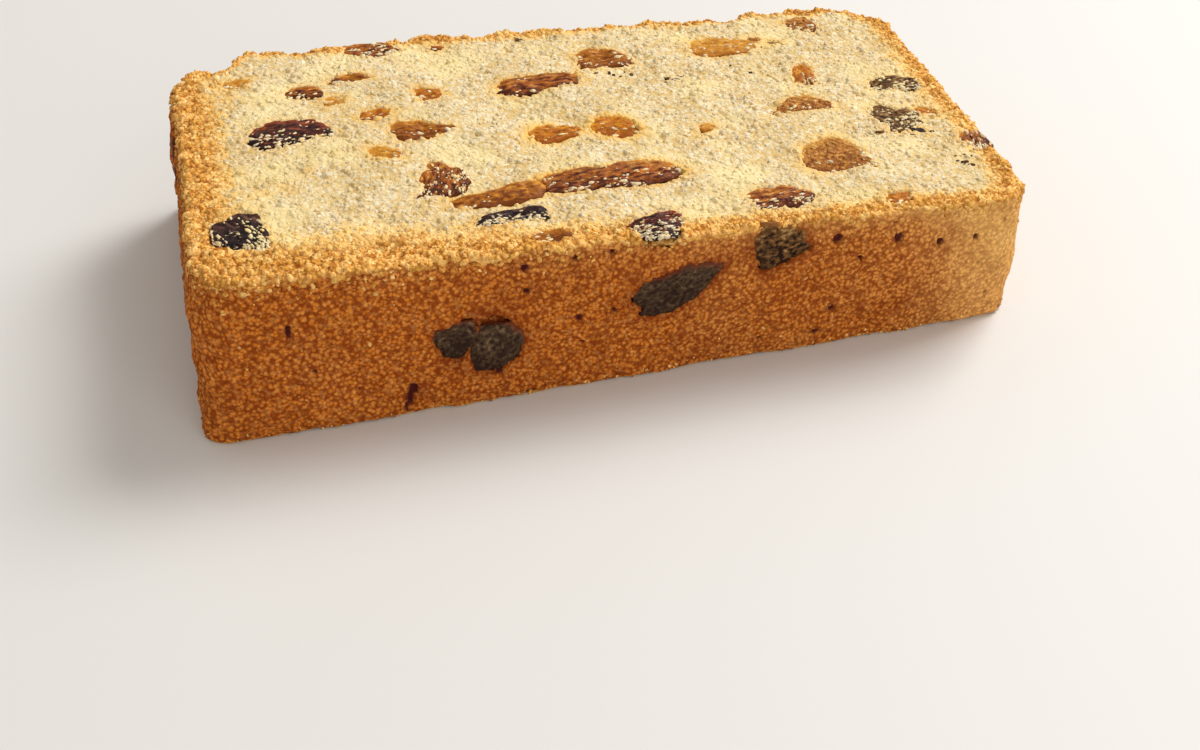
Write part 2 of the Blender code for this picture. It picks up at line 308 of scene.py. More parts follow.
def new_group(name: str, inputs: dict[str, object], outputs: tuple[str, ...]) -> tuple[Nodes, dict, dict]:
    """Starts a shader node group.

    Args:
        name: Its name.
        inputs: Its inputs, each with its first value, or None for a vector.
        outputs: Its number outputs.
    Returns:
        The tree's nodes, its input sockets and its output sockets by name.
    """
    tree = bpy.data.node_groups.new(name, "ShaderNodeTree")
    for label, value in inputs.items():
        kind = "NodeSocketVector" if value is None else "NodeSocketFloat"
        socket = tree.interface.new_socket(label, in_out="INPUT", socket_type=kind)
        if value is not None:
            socket.default_value = value
    for label in outputs:
        tree.interface.new_socket(label, in_out="OUTPUT", socket_type="NodeSocketFloat")
    entry = tree.nodes.new("NodeGroupInput")
    result = tree.nodes.new("NodeGroupOutput")
    return Nodes(tree), {k: entry.outputs[k] for k in inputs}, {k: result.inputs[k] for k in outputs}


def crumb_group() -> Tree:
    """Granular crumb: round grains with creases between them, and finer noise on them.

    Returns:
        A group with Height for a bump and Speck, a random number for each grain.
    """
    nodes, given, out = new_group("crumb grains", {"Vector": None, "Size": 0.5 * MM}, ("Height", "Speck"))
    place = given["Vector"]
    rate, reach = nodes.step("DIVIDE", 1.0, given["Size"]), nodes.times(given["Size"], 0.4)
    shift = nodes.add("CombineXYZ", None, X=reach, Y=reach, Z=reach).outputs[0]
    bent = nodes.step("MULTIPLY_ADD", nodes.noise(place, rate, 1.0, "Color"), shift, place, kind="VectorMath")
    grains = nodes.add("TexVoronoi", {"feature": "F1"}, Vector=bent, Scale=rate)
    dome = nodes.step("SUBTRACT", 1.0, grains.outputs["Distance"])
    fine = nodes.noise(place, nodes.times(rate, 2.2), 1.0)
    nodes.feed(out["Height"], nodes.plus(dome, nodes.times(fine, 0.35)))
    nodes.feed(out["Speck"], nodes.add("SeparateColor", None, Color=grains.outputs["Color"]).outputs[0])
    return nodes.tree


def mottle_group() -> Tree:
    """Soft patches: noise of a size, cut between Low and High to a mask from 0 to 1."""
    nodes, given, out = new_group("mottle", {"Vector": None, "Size": 3 * MM, "Low": 0.4, "High": 0.6},
                                  ("Mask",))
    noise = nodes.noise(given["Vector"], nodes.step("DIVIDE", 1.0, given["Size"]), 3.0)
    nodes.feed(out["Mask"], nodes.ramp(noise, given["Low"], given["High"]))
    return nodes.tree


def wrinkle_group() -> Tree:
    """Wrinkles that run along a piece of fruit: ridged noise, stretched along the piece.

    Returns:
        A group with Height for a bump and Streak for the colour.
    """
    nodes, given, out = new_group("wrinkles", {"Vector": None, "Size": 1.2 * MM, "Stretch": 0.4},
                                  ("Height", "Streak"))
    factors = nodes.add("CombineXYZ", None, X=given["Stretch"], Y=1.0, Z=1.0).outputs[0]
    along = nodes.step("MULTIPLY", given["Vector"], factors, kind="VectorMath")
    rate = nodes.step("DIVIDE", 1.0, given["Size"])
    folds = nodes.noise(along, rate, 3.0, Distortion=0.8)
    ridge = nodes.step("ABSOLUTE", nodes.step("SUBTRACT", folds, 0.5))
    nodes.feed(out["Height"], nodes.times(ridge, 3.0))
    nodes.feed(out["Streak"], nodes.noise(along, nodes.times(rate, 1.9), 4.0))
    return nodes.tree


@dataclass
class Effects:
    """The node groups that the finishes share."""

    crumb: Tree = field(default_factory=crumb_group)
    mottle: Tree = field(default_factory=mottle_group)
    wrinkle: Tree = field(default_factory=wrinkle_group)

    def mask(self, nodes: Nodes, place: object, size: float, low: float, high: float) -> object:
        """Patches of a size in millimetres, as a mask from 0 to 1."""
        return nodes.group(self.mottle, Vector=place, Size=size * MM, Low=low, High=high).outputs["Mask"]


@dataclass
class Coating:
    """A new material, its nodes, and the places that its patterns follow."""

    name: str

    def __post_init__(self) -> None:
        self.material = bpy.data.materials.new(self.name)
        self.material.use_nodes = True
        self.nodes = Nodes(self.material.node_tree)
        self.shader = self.material.node_tree.nodes["Principled BSDF"]

    def object_place(self) -> Socket:
        """The place on the object, which goes along when the object moves."""
        return self.nodes.add("TexCoord").outputs["Object"]

    def finish(self, colour: object, roughness: object, **inputs: object) -> Material:
        """Sets the shader's inputs and gives the material."""
        for label, value in {"Base Color": colour, "Roughness": roughness, **inputs}.items():
            self.nodes.feed(self.shader.inputs[label.replace("_", " ")], value)
        return self.material

    def bump(self, relief: object, height: float) -> Socket:
        """A normal that shows fine relief."""
        return self.nodes.add("Bump", None, Strength=1.0, Distance=height, Height=relief).outputs[0]


@dataclass(frozen=True)
class CakeFinish:
    """Sponge and crust in one finish, told apart by what the mesh holds at each place.

    The mesh gives crust (0 crumb, 1 crust), band (golden edge of the cut face), bake (0 golden crust, 1
    brown crust; paler towards the right partly as painted light), lift (relief from -1 to 1, whose low
    places take painted shade), pore (depth in a hole, darkened as painted shade), stain (juice of the
    fruit) and tint (a grain lighter or darker than its neighbours).
    """

    name: str = "cake"
    cream: Colour = (0.765, 0.66, 0.46)
    cream_pale: Colour = (0.84, 0.735, 0.505)
    # Painted shade: the darker colour of the crumb's creases and low places.
    cream_painted_shade: Colour = (0.69, 0.485, 0.20)
    butter: Colour = (0.86, 0.70, 0.36)
    golden: Colour = (0.87, 0.455, 0.095)
    golden_pale: Colour = (0.94, 0.625, 0.225)
    # Painted shade: the darker colour of the golden edge's low places.
    golden_painted_shade: Colour = (0.46, 0.165, 0.024)
    crust: Colour = (0.70, 0.212, 0.023)
    crust_golden: Colour = (0.98, 0.56, 0.17)
    crust_pale: Colour = (0.88, 0.42, 0.12)
    # The crust's own dark grains and stains, and also the painted shade in its creases.
    crust_dark: Colour = (0.20, 0.026, 0.002)
    # Painted shade: the dark inside of the crust's holes and crack.
    hole: Colour = (0.060, 0.006, 0.010)
    stained: Colour = (0.88, 0.50, 0.085)
    grain: float = 0.56 * MM
    crust_grain: float = 0.48 * MM
    grain_height: float = 0.17 * MM
    roughness: float = 0.9
    gloss: float = 0.1
    tint_shares: tuple[float, float, float] = (0.8, 1.1, 1.9)

    def sponge_colour(self, nodes: Nodes, grains: Node, butter: object) -> object:
        """Colour of the crumb: pale grains over creases darkened by painted shade, golden towards the edge of
        the face.
        """
        band, stain, lift = nodes.held("band", "stain", "lift")
        speck = grains.outputs["Speck"]
        # Raised places take the plain colour and low places the darker one: painted shade in the creases.
        lit = nodes.ramp(nodes.plus(grains.outputs["Height"], nodes.times(lift, 0.25)), 0.50, 1.10)
        cream = nodes.coats(
            self.cream_painted_shade, (lit, self.cream), (nodes.ramp(speck, 0.6, 1.0), self.cream_pale),
            (nodes.times(butter, 0.9), self.butter), (nodes.times(stain, 0.8), self.stained))
        # The golden edge is also darker in its low places: painted shade.
        golden = nodes.coats(
            self.golden_painted_shade, (lit, self.golden), (nodes.ramp(speck, 0.55, 0.9), self.golden_pale))
        ragged = nodes.shaken(band, speck, 0.35)
        return nodes.coats(cream, (nodes.ramp(ragged, 0.08, 0.55), self.golden_pale),
                           (nodes.ramp(ragged, 0.30, 0.80), golden),
                           (nodes.ramp(ragged, 0.85, 1.25, 0.0, 0.8), self.crust_golden))

    def crust_colour(self, nodes: Nodes, dots: Node, patches: object, flecks: object) -> object:
        """Colour of the crust: golden to brown by its bake, with creases darkened by painted shade and pale
        and dark grains.
        """
        bake, stain = nodes.held("bake", "stain")
        speck, height = dots.outputs["Speck"], dots.outputs["Height"]
        deep = nodes.ramp(bake, 0.0, 1.0, 0.48, 1.0)
        # Painted shade: the low places of the crust are darker.
        painted_crease_shade = nodes.times(deep, nodes.ramp(height, 0.95, 0.50, 0.0, 0.78))
        pale = nodes.times(nodes.ramp(height, 0.55, 0.95), nodes.ramp(speck, 0.68, 1.0, 0.0, 0.30))
        dark = nodes.times(deep, nodes.ramp(speck, 0.32, 0.0, 0.0, 0.55))
        return nodes.coats(
            self.crust_golden, (bake, self.crust), (painted_crease_shade, self.crust_dark), (pale, self.crust_pale),
            (dark, self.crust_dark), (nodes.times(stain, 0.7), self.crust_dark),
            (nodes.ramp(flecks, 0.50, 1.0, 0.0, 0.26), self.crust_pale),
            (nodes.ramp(flecks, 0.45, 0.0, 0.0, 0.26), self.crust_dark),
            (nodes.times(patches, 0.22), self.crust_dark))

    def material(self, effects: Effects) -> Material:
        """Builds the material from the shared node groups."""
        coating = Coating(self.name)
        nodes, place = coating.nodes, coating.object_place()
        crust, pore, tint = nodes.held("crust", "pore", "tint")
        grains, fine, dots = (nodes.group(effects.crumb, Vector=place, Size=size)
                              for size in (self.grain, 0.5 * self.grain, self.crust_grain))
        butter, patches, flecks = (effects.mask(nodes, place, *cut) for cut in (
            (9.0, 0.45, 0.70), (5.0, 0.40, 0.75), (0.55, 0.30, 0.70)))
        edge = nodes.shaken(crust, grains.outputs["Speck"], 0.7)
        colour = nodes.coats(
            self.sponge_colour(nodes, grains, butter),
            (nodes.ramp(edge, 0.3, 0.75), self.crust_colour(nodes, dots, patches, flecks)),
            # Deeper in a hole is darker: painted shade in the pits.
            (nodes.ramp(pore, 0.1, 1.0, 0.0, 0.95), self.hole))
        red, green, blue = (nodes.plus(nodes.times(tint, share), 1.0) for share in self.tint_shares)
        shade = nodes.add("CombineColor", None, Red=red, Green=green, Blue=blue).outputs[0]
        relief = nodes.plus(grains.outputs["Height"], nodes.times(fine.outputs["Height"], 0.3))
        relief = nodes.times(relief, nodes.ramp(crust, 0.2, 0.9, 1.0, 0.85))
        return coating.finish(nodes.blend(1.0, colour, shade, "MULTIPLY"), self.roughness,
                              Normal=coating.bump(relief, self.grain_height), Specular_IOR_Level=self.gloss)


@dataclass(frozen=True)
class FruitFinish:
    """Moist, wrinkled dried fruit, from a dark to a light tone.

    The mesh gives plan (the place along, across and over the piece), rim (1 at its edge), lean (1 on the
    side where light comes through the skin, -1 on the shaded side) and smear (how much crumb sticks to it).
    By lean the rim is painted in the edge colour on the lit side, a painted glow, and darker on the shaded
    side, painted shade.
    """

    name: str
    dark: Colour
    middle: Colour
    light: Colour
    # Painted glow: the colour of the rim on its lit side.
    edge: Colour
    roughness: float = 0.40
    gloss: float = 0.25
    wrinkle: float = 1.0 * MM
    wrinkle_height: float = 0.25 * MM
    grain: float = 0.40 * MM
    grainy: float = 0.25
    stretch: float = 0.42
    smear_size: float = 0.55 * MM
    crumb: Colour = (0.86, 0.70, 0.43)

    def material(self, effects: Effects) -> Material:
        """Builds the material from the shared node groups."""
        coating = Coating(self.name)
        nodes, place = coating.nodes, coating.object_place()
        plan, = nodes.held("plan", output="Vector")
        rim, lean, smear = nodes.held("rim", "lean", "smear")
        folds = nodes.group(effects.wrinkle, Vector=plan, Size=self.wrinkle, Stretch=self.stretch)
        thin = nodes.group(effects.wrinkle, Vector=place, Size=self.smear_size, Stretch=0.55)
        grains = nodes.group(effects.crumb, Vector=place, Size=self.grain)
        # A little lighter on the side towards the light: painted light.
        streak = nodes.plus(folds.outputs["Streak"], nodes.times(lean, 0.07))
        near_edge = nodes.ramp(rim, 0.25, 0.9)
        # The rim lighter on the lit side, a painted glow, and darker on the shaded side, painted shade.
        painted_glow = nodes.times(near_edge, nodes.ramp(lean, -0.1, 0.7, 0.0, 0.85))
        painted_rim_shade = nodes.times(near_edge, nodes.ramp(lean, 0.2, -0.6, 0.0, 0.8))
        stuck = nodes.ramp(nodes.plus(smear, thin.outputs["Streak"]), 0.96, 1.03, 0.0, 0.9)
        colour = nodes.coats(
            self.dark, (nodes.ramp(streak, 0.38, 0.54), self.middle),
            (nodes.ramp(streak, 0.56, 0.70), self.light),
            (nodes.times(effects.mask(nodes, place, 2.0, 0.38, 0.68), 0.5), self.dark),
            (painted_glow, self.edge), (painted_rim_shade, self.dark), (stuck, self.crumb))
        relief = nodes.plus(folds.outputs["Height"], nodes.times(grains.outputs["Height"], self.grainy))
        return coating.finish(
            colour, nodes.ramp(streak, 0.3, 0.7, self.roughness + 0.14, self.roughness - 0.08),
            Normal=coating.bump(relief, self.wrinkle_height), Specular_IOR_Level=self.gloss)


class FruitSkin(enum.Enum):
    """The tones of fruit that the slice shows."""

    # The fourth colour of each skin, its edge, is the painted glow on the rim's lit side.
    PURPLE = FruitFinish("raisin_purple", (0.006, 0.002, 0.003), (0.030, 0.008, 0.008), (0.16, 0.07, 0.05),
                         (0.055, 0.013, 0.012), gloss=0.16)
    WINE = FruitFinish("raisin_wine", (0.010, 0.002, 0.002), (0.095, 0.014, 0.006), (0.38, 0.070, 0.020),
                       (0.34, 0.045, 0.008), gloss=0.16)
    RED = FruitFinish("raisin_red", (0.070, 0.011, 0.002), (0.40, 0.105, 0.010), (0.72, 0.32, 0.045),
                      (0.64, 0.23, 0.018), gloss=0.14)
    TAWNY = FruitFinish("raisin_tawny", (0.24, 0.070, 0.008), (0.56, 0.22, 0.030), (0.80, 0.44, 0.11),
                        (0.72, 0.36, 0.05), gloss=0.14, stretch=0.8, grainy=0.9)
    OLIVE = FruitFinish("raisin_olive", (0.022, 0.009, 0.004), (0.19, 0.085, 0.024), (0.48, 0.29, 0.11),
                        (0.28, 0.10, 0.02), roughness=0.55, gloss=0.10, stretch=0.8)
    BAKED = FruitFinish("raisin_baked", (0.030, 0.013, 0.008), (0.078, 0.045, 0.023), (0.20, 0.12, 0.062),
                        (0.17, 0.036, 0.014), roughness=0.60, gloss=0.10, wrinkle_height=0.12 * MM,
                        grainy=0.7, stretch=0.9, crumb=(0.42, 0.17, 0.06))
    BROWN = FruitFinish("apricot_brown", (0.17, 0.042, 0.004), (0.40, 0.125, 0.010), (0.68, 0.30, 0.035),
                        (0.66, 0.27, 0.025), gloss=0.12, wrinkle_height=0.14 * MM, stretch=0.6)
    AMBER = FruitFinish("apricot_amber", (0.30, 0.078, 0.004), (0.54, 0.175, 0.008), (0.74, 0.34, 0.030),
                        (0.76, 0.33, 0.020), gloss=0.12, wrinkle_height=0.12 * MM, stretch=0.7)
    ORANGE = FruitFinish("apricot_orange", (0.42, 0.15, 0.012), (0.66, 0.30, 0.030), (0.84, 0.52, 0.13),
                         (0.80, 0.44, 0.07), gloss=0.12, wrinkle_height=0.12 * MM, stretch=0.7)


# Fruit

class Face(enum.Enum):
    """A face of the slice: its outward normal, a direction along it, and the side that light comes from."""

    TOP = ((0, 0, 1), (1, 0, 0), (0, 1, 0))
    BASE = ((0, 0, -1), (1, 0, 0), (0, 1, 0))
    FRONT = ((0, -1, 0), (1, 0, 0), (0, 0, 1))
    BACK = ((0, 1, 0), (-1, 0, 0), (0, 0, 1))
    LEFT = ((-1, 0, 0), (0, -1, 0), (0, 0, 1))
    RIGHT = ((1, 0, 0), (0, 1, 0), (0, 0, 1))

    def __init__(self, *directions: tuple[int, int, int]) -> None:
        self.normal, self.first, self.lit = (np.array(direction, float) for direction in directions)


@dataclass(frozen=True)
class FruitLook:
    """How one piece of fruit looks: its skin, and how its outline departs from an oval."""

    skin: FruitSkin
    taper: float = 0.0
    bend: float = 0.0
    square: float = 2.4
    ragged: float = 0.10
    flecks: float = 0.25
    juice: float = 0.3
    grow: float = 1.0


# Short names of the skins, for the tables
P, V, R, W = FruitSkin.PURPLE, FruitSkin.WINE, FruitSkin.RED, FruitSkin.TAWNY
O, B, N, A, Y = FruitSkin.OLIVE, FruitSkin.BAKED, FruitSkin.BROWN, FruitSkin.AMBER, FruitSkin.ORANGE

# The pieces that show, each as it looks: skin, taper, bend, squareness, raggedness, crumbs, juice, growth
SHOWN = {
    "top_raisin": (
        (P, 0.55, 0.10, 2.2, 0.16, 0.50), (V, 0.05, -0.14, 2.8, 0.18, 0.28), (R, -0.20, 0.0, 2.4, 0.20, 0.40),
        (R, 0.10, 0.10, 2.4, 0.22, 0.45), (R, 0.35, 0.30, 1.7, 0.28, 0.40), (P, 0.0, 0.0, 3.5, 0.12, 0.70),
        (R, 0.10, -0.06, 3.0, 0.10, 0.12, 0.6), (R, -0.10, 0.0, 3.4, 0.10, 0.15, 0.9),
        (V, -0.25, 0.10, 2.2, 0.16, 0.58), (N, 0.15, -0.08, 2.6, 0.14, 0.15, 0.6),
        (R, 0.0, -0.10, 2.4, 0.14, 0.50), (W, 0.90, -0.10, 1.6, 0.10, 0.08, 0.7),
        (W, 0.0, 0.0, 2.2, 0.22, 0.35), (O, 0.25, 0.0, 2.2, 0.26, 0.62), (O, -0.20, 0.0, 2.6, 0.24, 0.60),
        (R, 0.0, 0.10, 2.2, 0.20, 0.60)),
    "top_apricot": (
        (N, -0.25, 0.0, 2.0, 0.18, 0.25, 0.6), (Y, 0.10, 0.10, 2.2, 0.22, 0.30, 0.6),
        (A, 0.15, 0.0, 2.2, 0.20, 0.20, 0.7), (N, 0.60, 0.18, 2.0, 0.12, 0.15, 0.6),
        (A, 0.0, 0.0, 2.6, 0.20, 0.25, 0.6), (N, -0.25, 0.06, 3.8, 0.08, 0.04, 0.6),
        (N, -0.25, 0.0, 2.2, 0.14, 0.35, 0.8), (A, 0.30, 0.06, 2.2, 0.14, 0.06, 0.9),
        (A, 0.0, -0.10, 2.2, 0.12, 0.10, 0.9), (Y, 0.20, 0.05, 2.4, 0.14, 0.12, 0.6),
        (W, -0.50, -0.28, 1.75, 0.12, 0.25, 0.6), (A, 0.0, 0.0, 2.6, 0.18, 0.30, 0.5)),
    "front_raisin": (
        (B, -0.55, 0.10, 2.0, 0.16, 0.14, 0.9, 1.30), (B, -0.40, 0.10, 2.2, 0.16, 0.14, 0.9, 1.16),
        (B, 0.10, 0.06, 2.8, 0.26, 0.18, 0.9), (O, 0.10, 0.0, 2.6, 0.26, 0.30, 0.9)),
}
LOOKS = {f"{group}_{number:02d}": FruitLook(*row) for group, rows in SHOWN.items()
         for number, row in enumerate(rows, 1)}

# What the pieces on the other faces look like
PLAIN_LOOKS = {
    ("base", "raisin"): FruitLook(R, flecks=0.4, ragged=0.14),
    ("base", "apricot"): FruitLook(A, flecks=0.25, ragged=0.14),
    ("side", "raisin"): FruitLook(B, flecks=0.05, ragged=0.12),
    ("side", "apricot"): FruitLook(N, flecks=0.05, ragged=0.12),
}

# The waves that run round a piece's outline, by how often each rises
LUMP_WAVES = (2, 3, 5, 8, 13)


@dataclass
class FruitPiece:
    """One piece of fruit, cut flush with its face: a flat wrinkled top on a round underside."""

    name: str
    face: Face
    look: FruitLook
    centre: Array
    turn: float
    half_length: float
    half_width: float
    depth: float
    seed: int
    low: Array
    high: Array
    waist: float = 0.5 * MM
    tucked: float = 0.30 * MM
    sunk: float = 0.10 * MM
    slack: float = 0.55 * MM
    waist_row: float = 0.65
    rows: int = 44
    columns: int = 84

    @classmethod
    def from_node(cls, name: str, points: Array, seed: int) -> "FruitPiece":
        """Reads a piece's place and size from its node.

        Args:
            name: The node's name, which starts with its face and its kind.
            points: The node's vertices.
            seed: Seed of its lumps.
        Returns:
            The piece.
        """
        face_name, kind, _ = name.split("_")
        face = Face[face_name.upper()]
        place = "base" if face is Face.BASE else "side"
        look = LOOKS.get(name) or PLAIN_LOOKS[place, kind]
        second = np.cross(face.normal, face.first)
        middle = points.mean(0)
        plan = np.stack([(points - middle) @ face.first, (points - middle) @ second], -1)
        longest = np.linalg.eigh(plan.T @ plan)[1][:, 1]
        turn = math.atan2(longest[1], longest[0])
        turn = (turn + math.pi / 2) % math.pi - math.pi / 2
        axes = np.array([[math.cos(turn), math.sin(turn)], [-math.sin(turn), math.cos(turn)]])
        spans = plan @ axes.T
        low, high = spans.min(0), spans.max(0)
        shift = (low + high) / 2 @ axes
        heights = points @ face.normal
        centre = middle + face.first * shift[0] + second * shift[1]
        centre += face.normal * (heights.max() - centre @ face.normal)
        return cls(name, face, look, centre, turn, *((high - low) / 2 * look.grow), np.ptp(heights), seed,
                   points.min(0), points.max(0))

    @property
    def axes(self) -> tuple[Array, Array, Array]:
        """Directions along, across and out of the piece."""
        first, normal = self.face.first, self.face.normal
        second = np.cross(normal, first)
        along = math.cos(self.turn) * first + math.sin(self.turn) * second
        return along, np.cross(normal, along), normal

    @property
    def kind(self) -> str:
        """The record's slot."""
        return "apricot" if "apricot" in self.name else "raisin"

    def lean(self, points: Array) -> Array:
        """1 on the side towards the light, -1 on the other, 0 in the middle."""
        along, across, _ = self.axes
        lit = self.face.lit
        half = math.hypot(self.half_length * (along @ lit), self.half_width * (across @ lit))
        return np.clip((points - self.centre) @ self.face.lit / half, -1, 1)

    def lumps(self, angle: Array) -> Array:
        """How far the outline swells at an angle: the sum of its waves, each at a seeded phase."""
        phases = np.random.default_rng(self.seed).uniform(0, 2 * np.pi, len(LUMP_WAVES))
        total = sum(np.sin(k * angle + phase) / k**0.8 for k, phase in zip(LUMP_WAVES, phases))
        return 1 + self.look.ragged * total * 0.8

    def reach(self, points: Array) -> tuple[Array, Array]:
        """Where places lie against the outline.

        The formula: the place is unbent and untapered, then measured as a superellipse with lumps.

        Args:
            points: Places, (n, 3).
        Returns:
            The share of the way to the outline (1 on it), and the height over the face.
        """
        along, across, normal = self.axes
        local = points - self.centre
        s = local @ along / self.half_length
        t = local @ across / self.half_width
        inner = np.clip(s, -1.3, 1.3)
        t = (t - self.look.bend * (2 * inner**2 - 1)) / (1 - self.look.taper * inner)
        power = self.look.square
        size = (np.abs(s) ** power + np.abs(t) ** power) ** (1 / power)
        return size / self.lumps(np.arctan2(t, s)), local @ normal

    def surface(self, angle: Array, share: Array, under: Array) -> tuple[Array, Array]:
        """Places on the skin.

        The formula: a superellipse with lumps, tapered and bent in plan, and a little wider than its pocket.
        Over it the top is flat with a rounded edge and folded skin: ridges are one less the size of a
        stretched noise. Under the waist it is half an ellipsoid. No place leaves its node's box by more
        than the slack.

        Args:
            angle: Angle round the piece.
            share: 0 in the middle, 1 at the waist.
            under: True on the underside.
        Returns:
            The places in the frame, and in the piece's own plan, both (..., 3).
        """
        power = self.look.square
        c, s = np.cos(angle), np.sin(angle)
        radius = self.lumps(angle) / (np.abs(c) ** power + np.abs(s) ** power) ** (1 / power) * share
        x, y = radius * c, radius * s
        y = y * (1 - self.look.taper * x) + self.look.bend * (2 * x**2 - 1)
        inner = np.clip(share, 0, 1)
        top = self.waist * ((1 - inner**8) ** (1 / 3) - 1) - self.sunk
        bowl = -self.waist - self.sunk - (self.depth - self.waist) * np.sqrt(1 - inner**2)
        plan = np.stack([x * (self.half_length + self.tucked), y * (self.half_width + self.tucked),
                         np.where(under, bowl, top)], -1)
        stretched = plan * np.array([0.5, 1.0, 0.3])
        coarse, small = (1 - 2 * np.abs(soft_noise(stretched, size * MM, self.seed + k))
                         for k, size in enumerate((1.3, 0.6)))
        swell = soft_noise(plan, 2.6 * MM, self.seed + 2)
        plan[..., 2] += np.where(under, 0.0, MM * (0.14 * coarse + 0.08 * small + 0.16 * swell - 0.06))
        along, across, normal = self.axes
        place = self.centre + plan[..., :1] * along + plan[..., 1:2] * across + plan[..., 2:] * normal
        spare = np.where(under[..., None], -self.tucked * 3 * (1 - np.abs(normal)), self.slack)
        return np.clip(place, self.low - spare, self.high + spare), plan

    def mesh(self) -> tuple[Array, Array, dict[str, Array]]:
        """Works out the piece's vertices, triangles and values for the finish."""
        row = (np.arange(self.rows) + 1) / (self.rows + 1)
        top, waist = row < self.waist_row, self.waist_row
        quarter = np.pi / 2 * np.where(top, row / waist, (row - waist) / (1 - waist))
        share = np.where(top, np.sin(quarter), np.cos(quarter))
        angle = np.arange(self.columns) * 2 * np.pi / self.columns
        angles, shares = (np.concatenate([[0.0], grid.ravel(), [0.0]]) for grid in np.meshgrid(angle, share))
        under = np.concatenate([[False], np.repeat(~top, self.columns), [True]])
        place, plan = self.surface(angles, shares, under)
        if self.face is Face.BASE:
            place[:, 2] = np.maximum(place[:, 2], 0.0)
        lean = self.lean(place)
        patchy = soft_noise(place, 1.6 * MM, 97)
        smear = self.look.flecks * (0.42 - 0.20 * lean + 0.35 * patchy + 0.05 * shares**4)
        # lean also sets the painted glow and painted shade on the rim.
        values = {"plan": plan + self.seed * 0.01, "rim": shares**4 * np.where(under, 0, 1),
                  "lean": lean, "smear": np.clip(smear, 0, 0.47)}
        return place, globe_triangles(self.rows, self.columns), values

    def build(self, materials: dict[FruitSkin, Material]) -> None:
        """Builds the piece in place of its node, with the material of its skin."""
        make_object("fruit_" + self.name, *self.mesh(), materials[self.look.skin], self.kind, self.name)


# The sponge

# The values that grains take over from the place where they lie
SAMPLED = ("crust", "band", "bake", "stain", "tint")


@dataclass
class Shell:
    """One closed mesh of the slice: the place of each vertex on the slice's skin, and what it holds."""

    name: str
    u: Array
    v: Array
    level: Array
    hidden: Array
    triangles: Array
    points: Array = field(default_factory=lambda: np.zeros((0, 3)))
    values: dict[str, Array] = field(default_factory=dict)

    @property
    def outward(self) -> Array:
        """How far each place is from the middle line: 1 all round the sides."""
        return np.maximum(np.abs(self.u), np.abs(self.v))


class ShellRows:
    """Collects rows of vertices on the skin, and the triangles between them."""

    def __init__(self, cells_x: int, cells_y: int) -> None:
        side_x, side_y = np.linspace(-1, 1, cells_x + 1), np.linspace(-1, 1, cells_y + 1)
        self.ring_u = np.concatenate([side_x[:-1], np.ones(cells_y), side_x[:0:-1], -np.ones(cells_y)])
        self.ring_v = np.concatenate([-np.ones(cells_x), side_y[:-1], np.ones(cells_x), side_y[:0:-1]])
        self.line_u = side_x
        self.cells_x = cells_x
        self.parts: list[tuple[Array, Array, Array, Array]] = []
        self.triangles: list[Array] = []
        self.count = 0

    def add(self, u: Array, v: Array, level: Array, hidden: bool) -> Array:
        """Adds vertices and gives their numbers."""
        self.parts.append((u, v, np.broadcast_to(level, u.shape), np.full(u.shape, hidden)))
        self.count += u.size
        return np.arange(self.count - u.size, self.count)

    def ring(self, level: Array, hidden: bool = False, share: float = 1.0, reach: float = 0.0) -> Array:
        """Adds a ring round the slice. With a share under 1 it draws in to a line of a certain reach."""
        return self.add(self.ring_u * (reach + (1 - reach) * share), self.ring_v * share, level, hidden)

    def line(self, level: Array, hidden: bool, reach: float) -> Array:
        """Adds the centre line that closes the rings, and gives for each ring vertex its number there."""
        numbers = self.add(self.line_u * reach, np.zeros(self.cells_x + 1), level, hidden)
        return numbers[np.rint((self.ring_u + 1) / 2 * self.cells_x).astype(int)]

    def join(self, upper: Array, lower: Array) -> None:
        """Joins two rings, or a ring and a line, with triangles that face outwards."""
        next_upper, next_lower = np.roll(upper, -1), np.roll(lower, -1)
        first = np.stack([upper, lower, next_lower], -1)
        second = np.stack([upper, next_lower, next_upper], -1)
        self.triangles += [first[lower != next_lower], second[upper != next_upper]]

    def chain(self, rings: list[Array]) -> None:
        """Joins each ring to the one after it."""
        for upper, lower in zip(rings, rings[1:]):
            self.join(upper, lower)

    def shell(self, name: str) -> Shell:
        """The finished shell."""
        u, v, level, hidden = (np.concatenate(part) for part in zip(*self.parts))
        return Shell(name, u, v, level, hidden, np.concatenate(self.triangles))


# Holes and one crack baked in the front crust, in millimetres: place along the slice, depth below the cut
# face, width and, where it differs, height. The finish darkens each pit by its depth: painted shade.
HOLES = (
    (23.9, 3.2, 1.2), (31.4, 3.8, 1.2), (37.0, 5.3, 0.9), (41.6, 5.2, 0.8), (24.2, 13.2, 0.9),
    (22.4, 16.4, 0.8), (27.0, 6.2, 0.6), (-6.8, 9.7, 0.9), (-6.5, 13.3, 0.7), (15.2, 16.2, 0.6),
    (-12.9, 2.3, 0.9), (-8.9, 1.8, 0.6), (-7.2, 1.6, 0.6), (-3.0, 1.5, 0.6), (-12.7, 5.5, 0.8),
    (-2.8, 9.3, 0.7), (-36.6, 12.6, 0.5), (-38.9, 6.9, 0.8, 1.6), (-12.6, 19.6, 1.8, 0.8),
    (-16.2, 15.8, 1.0, 0.8), (-26.1, 17.0, 1.1, 1.7), (-26.6, 18.3, 0.8, 1.9), (-27.1, 19.6, 0.5, 1.5))


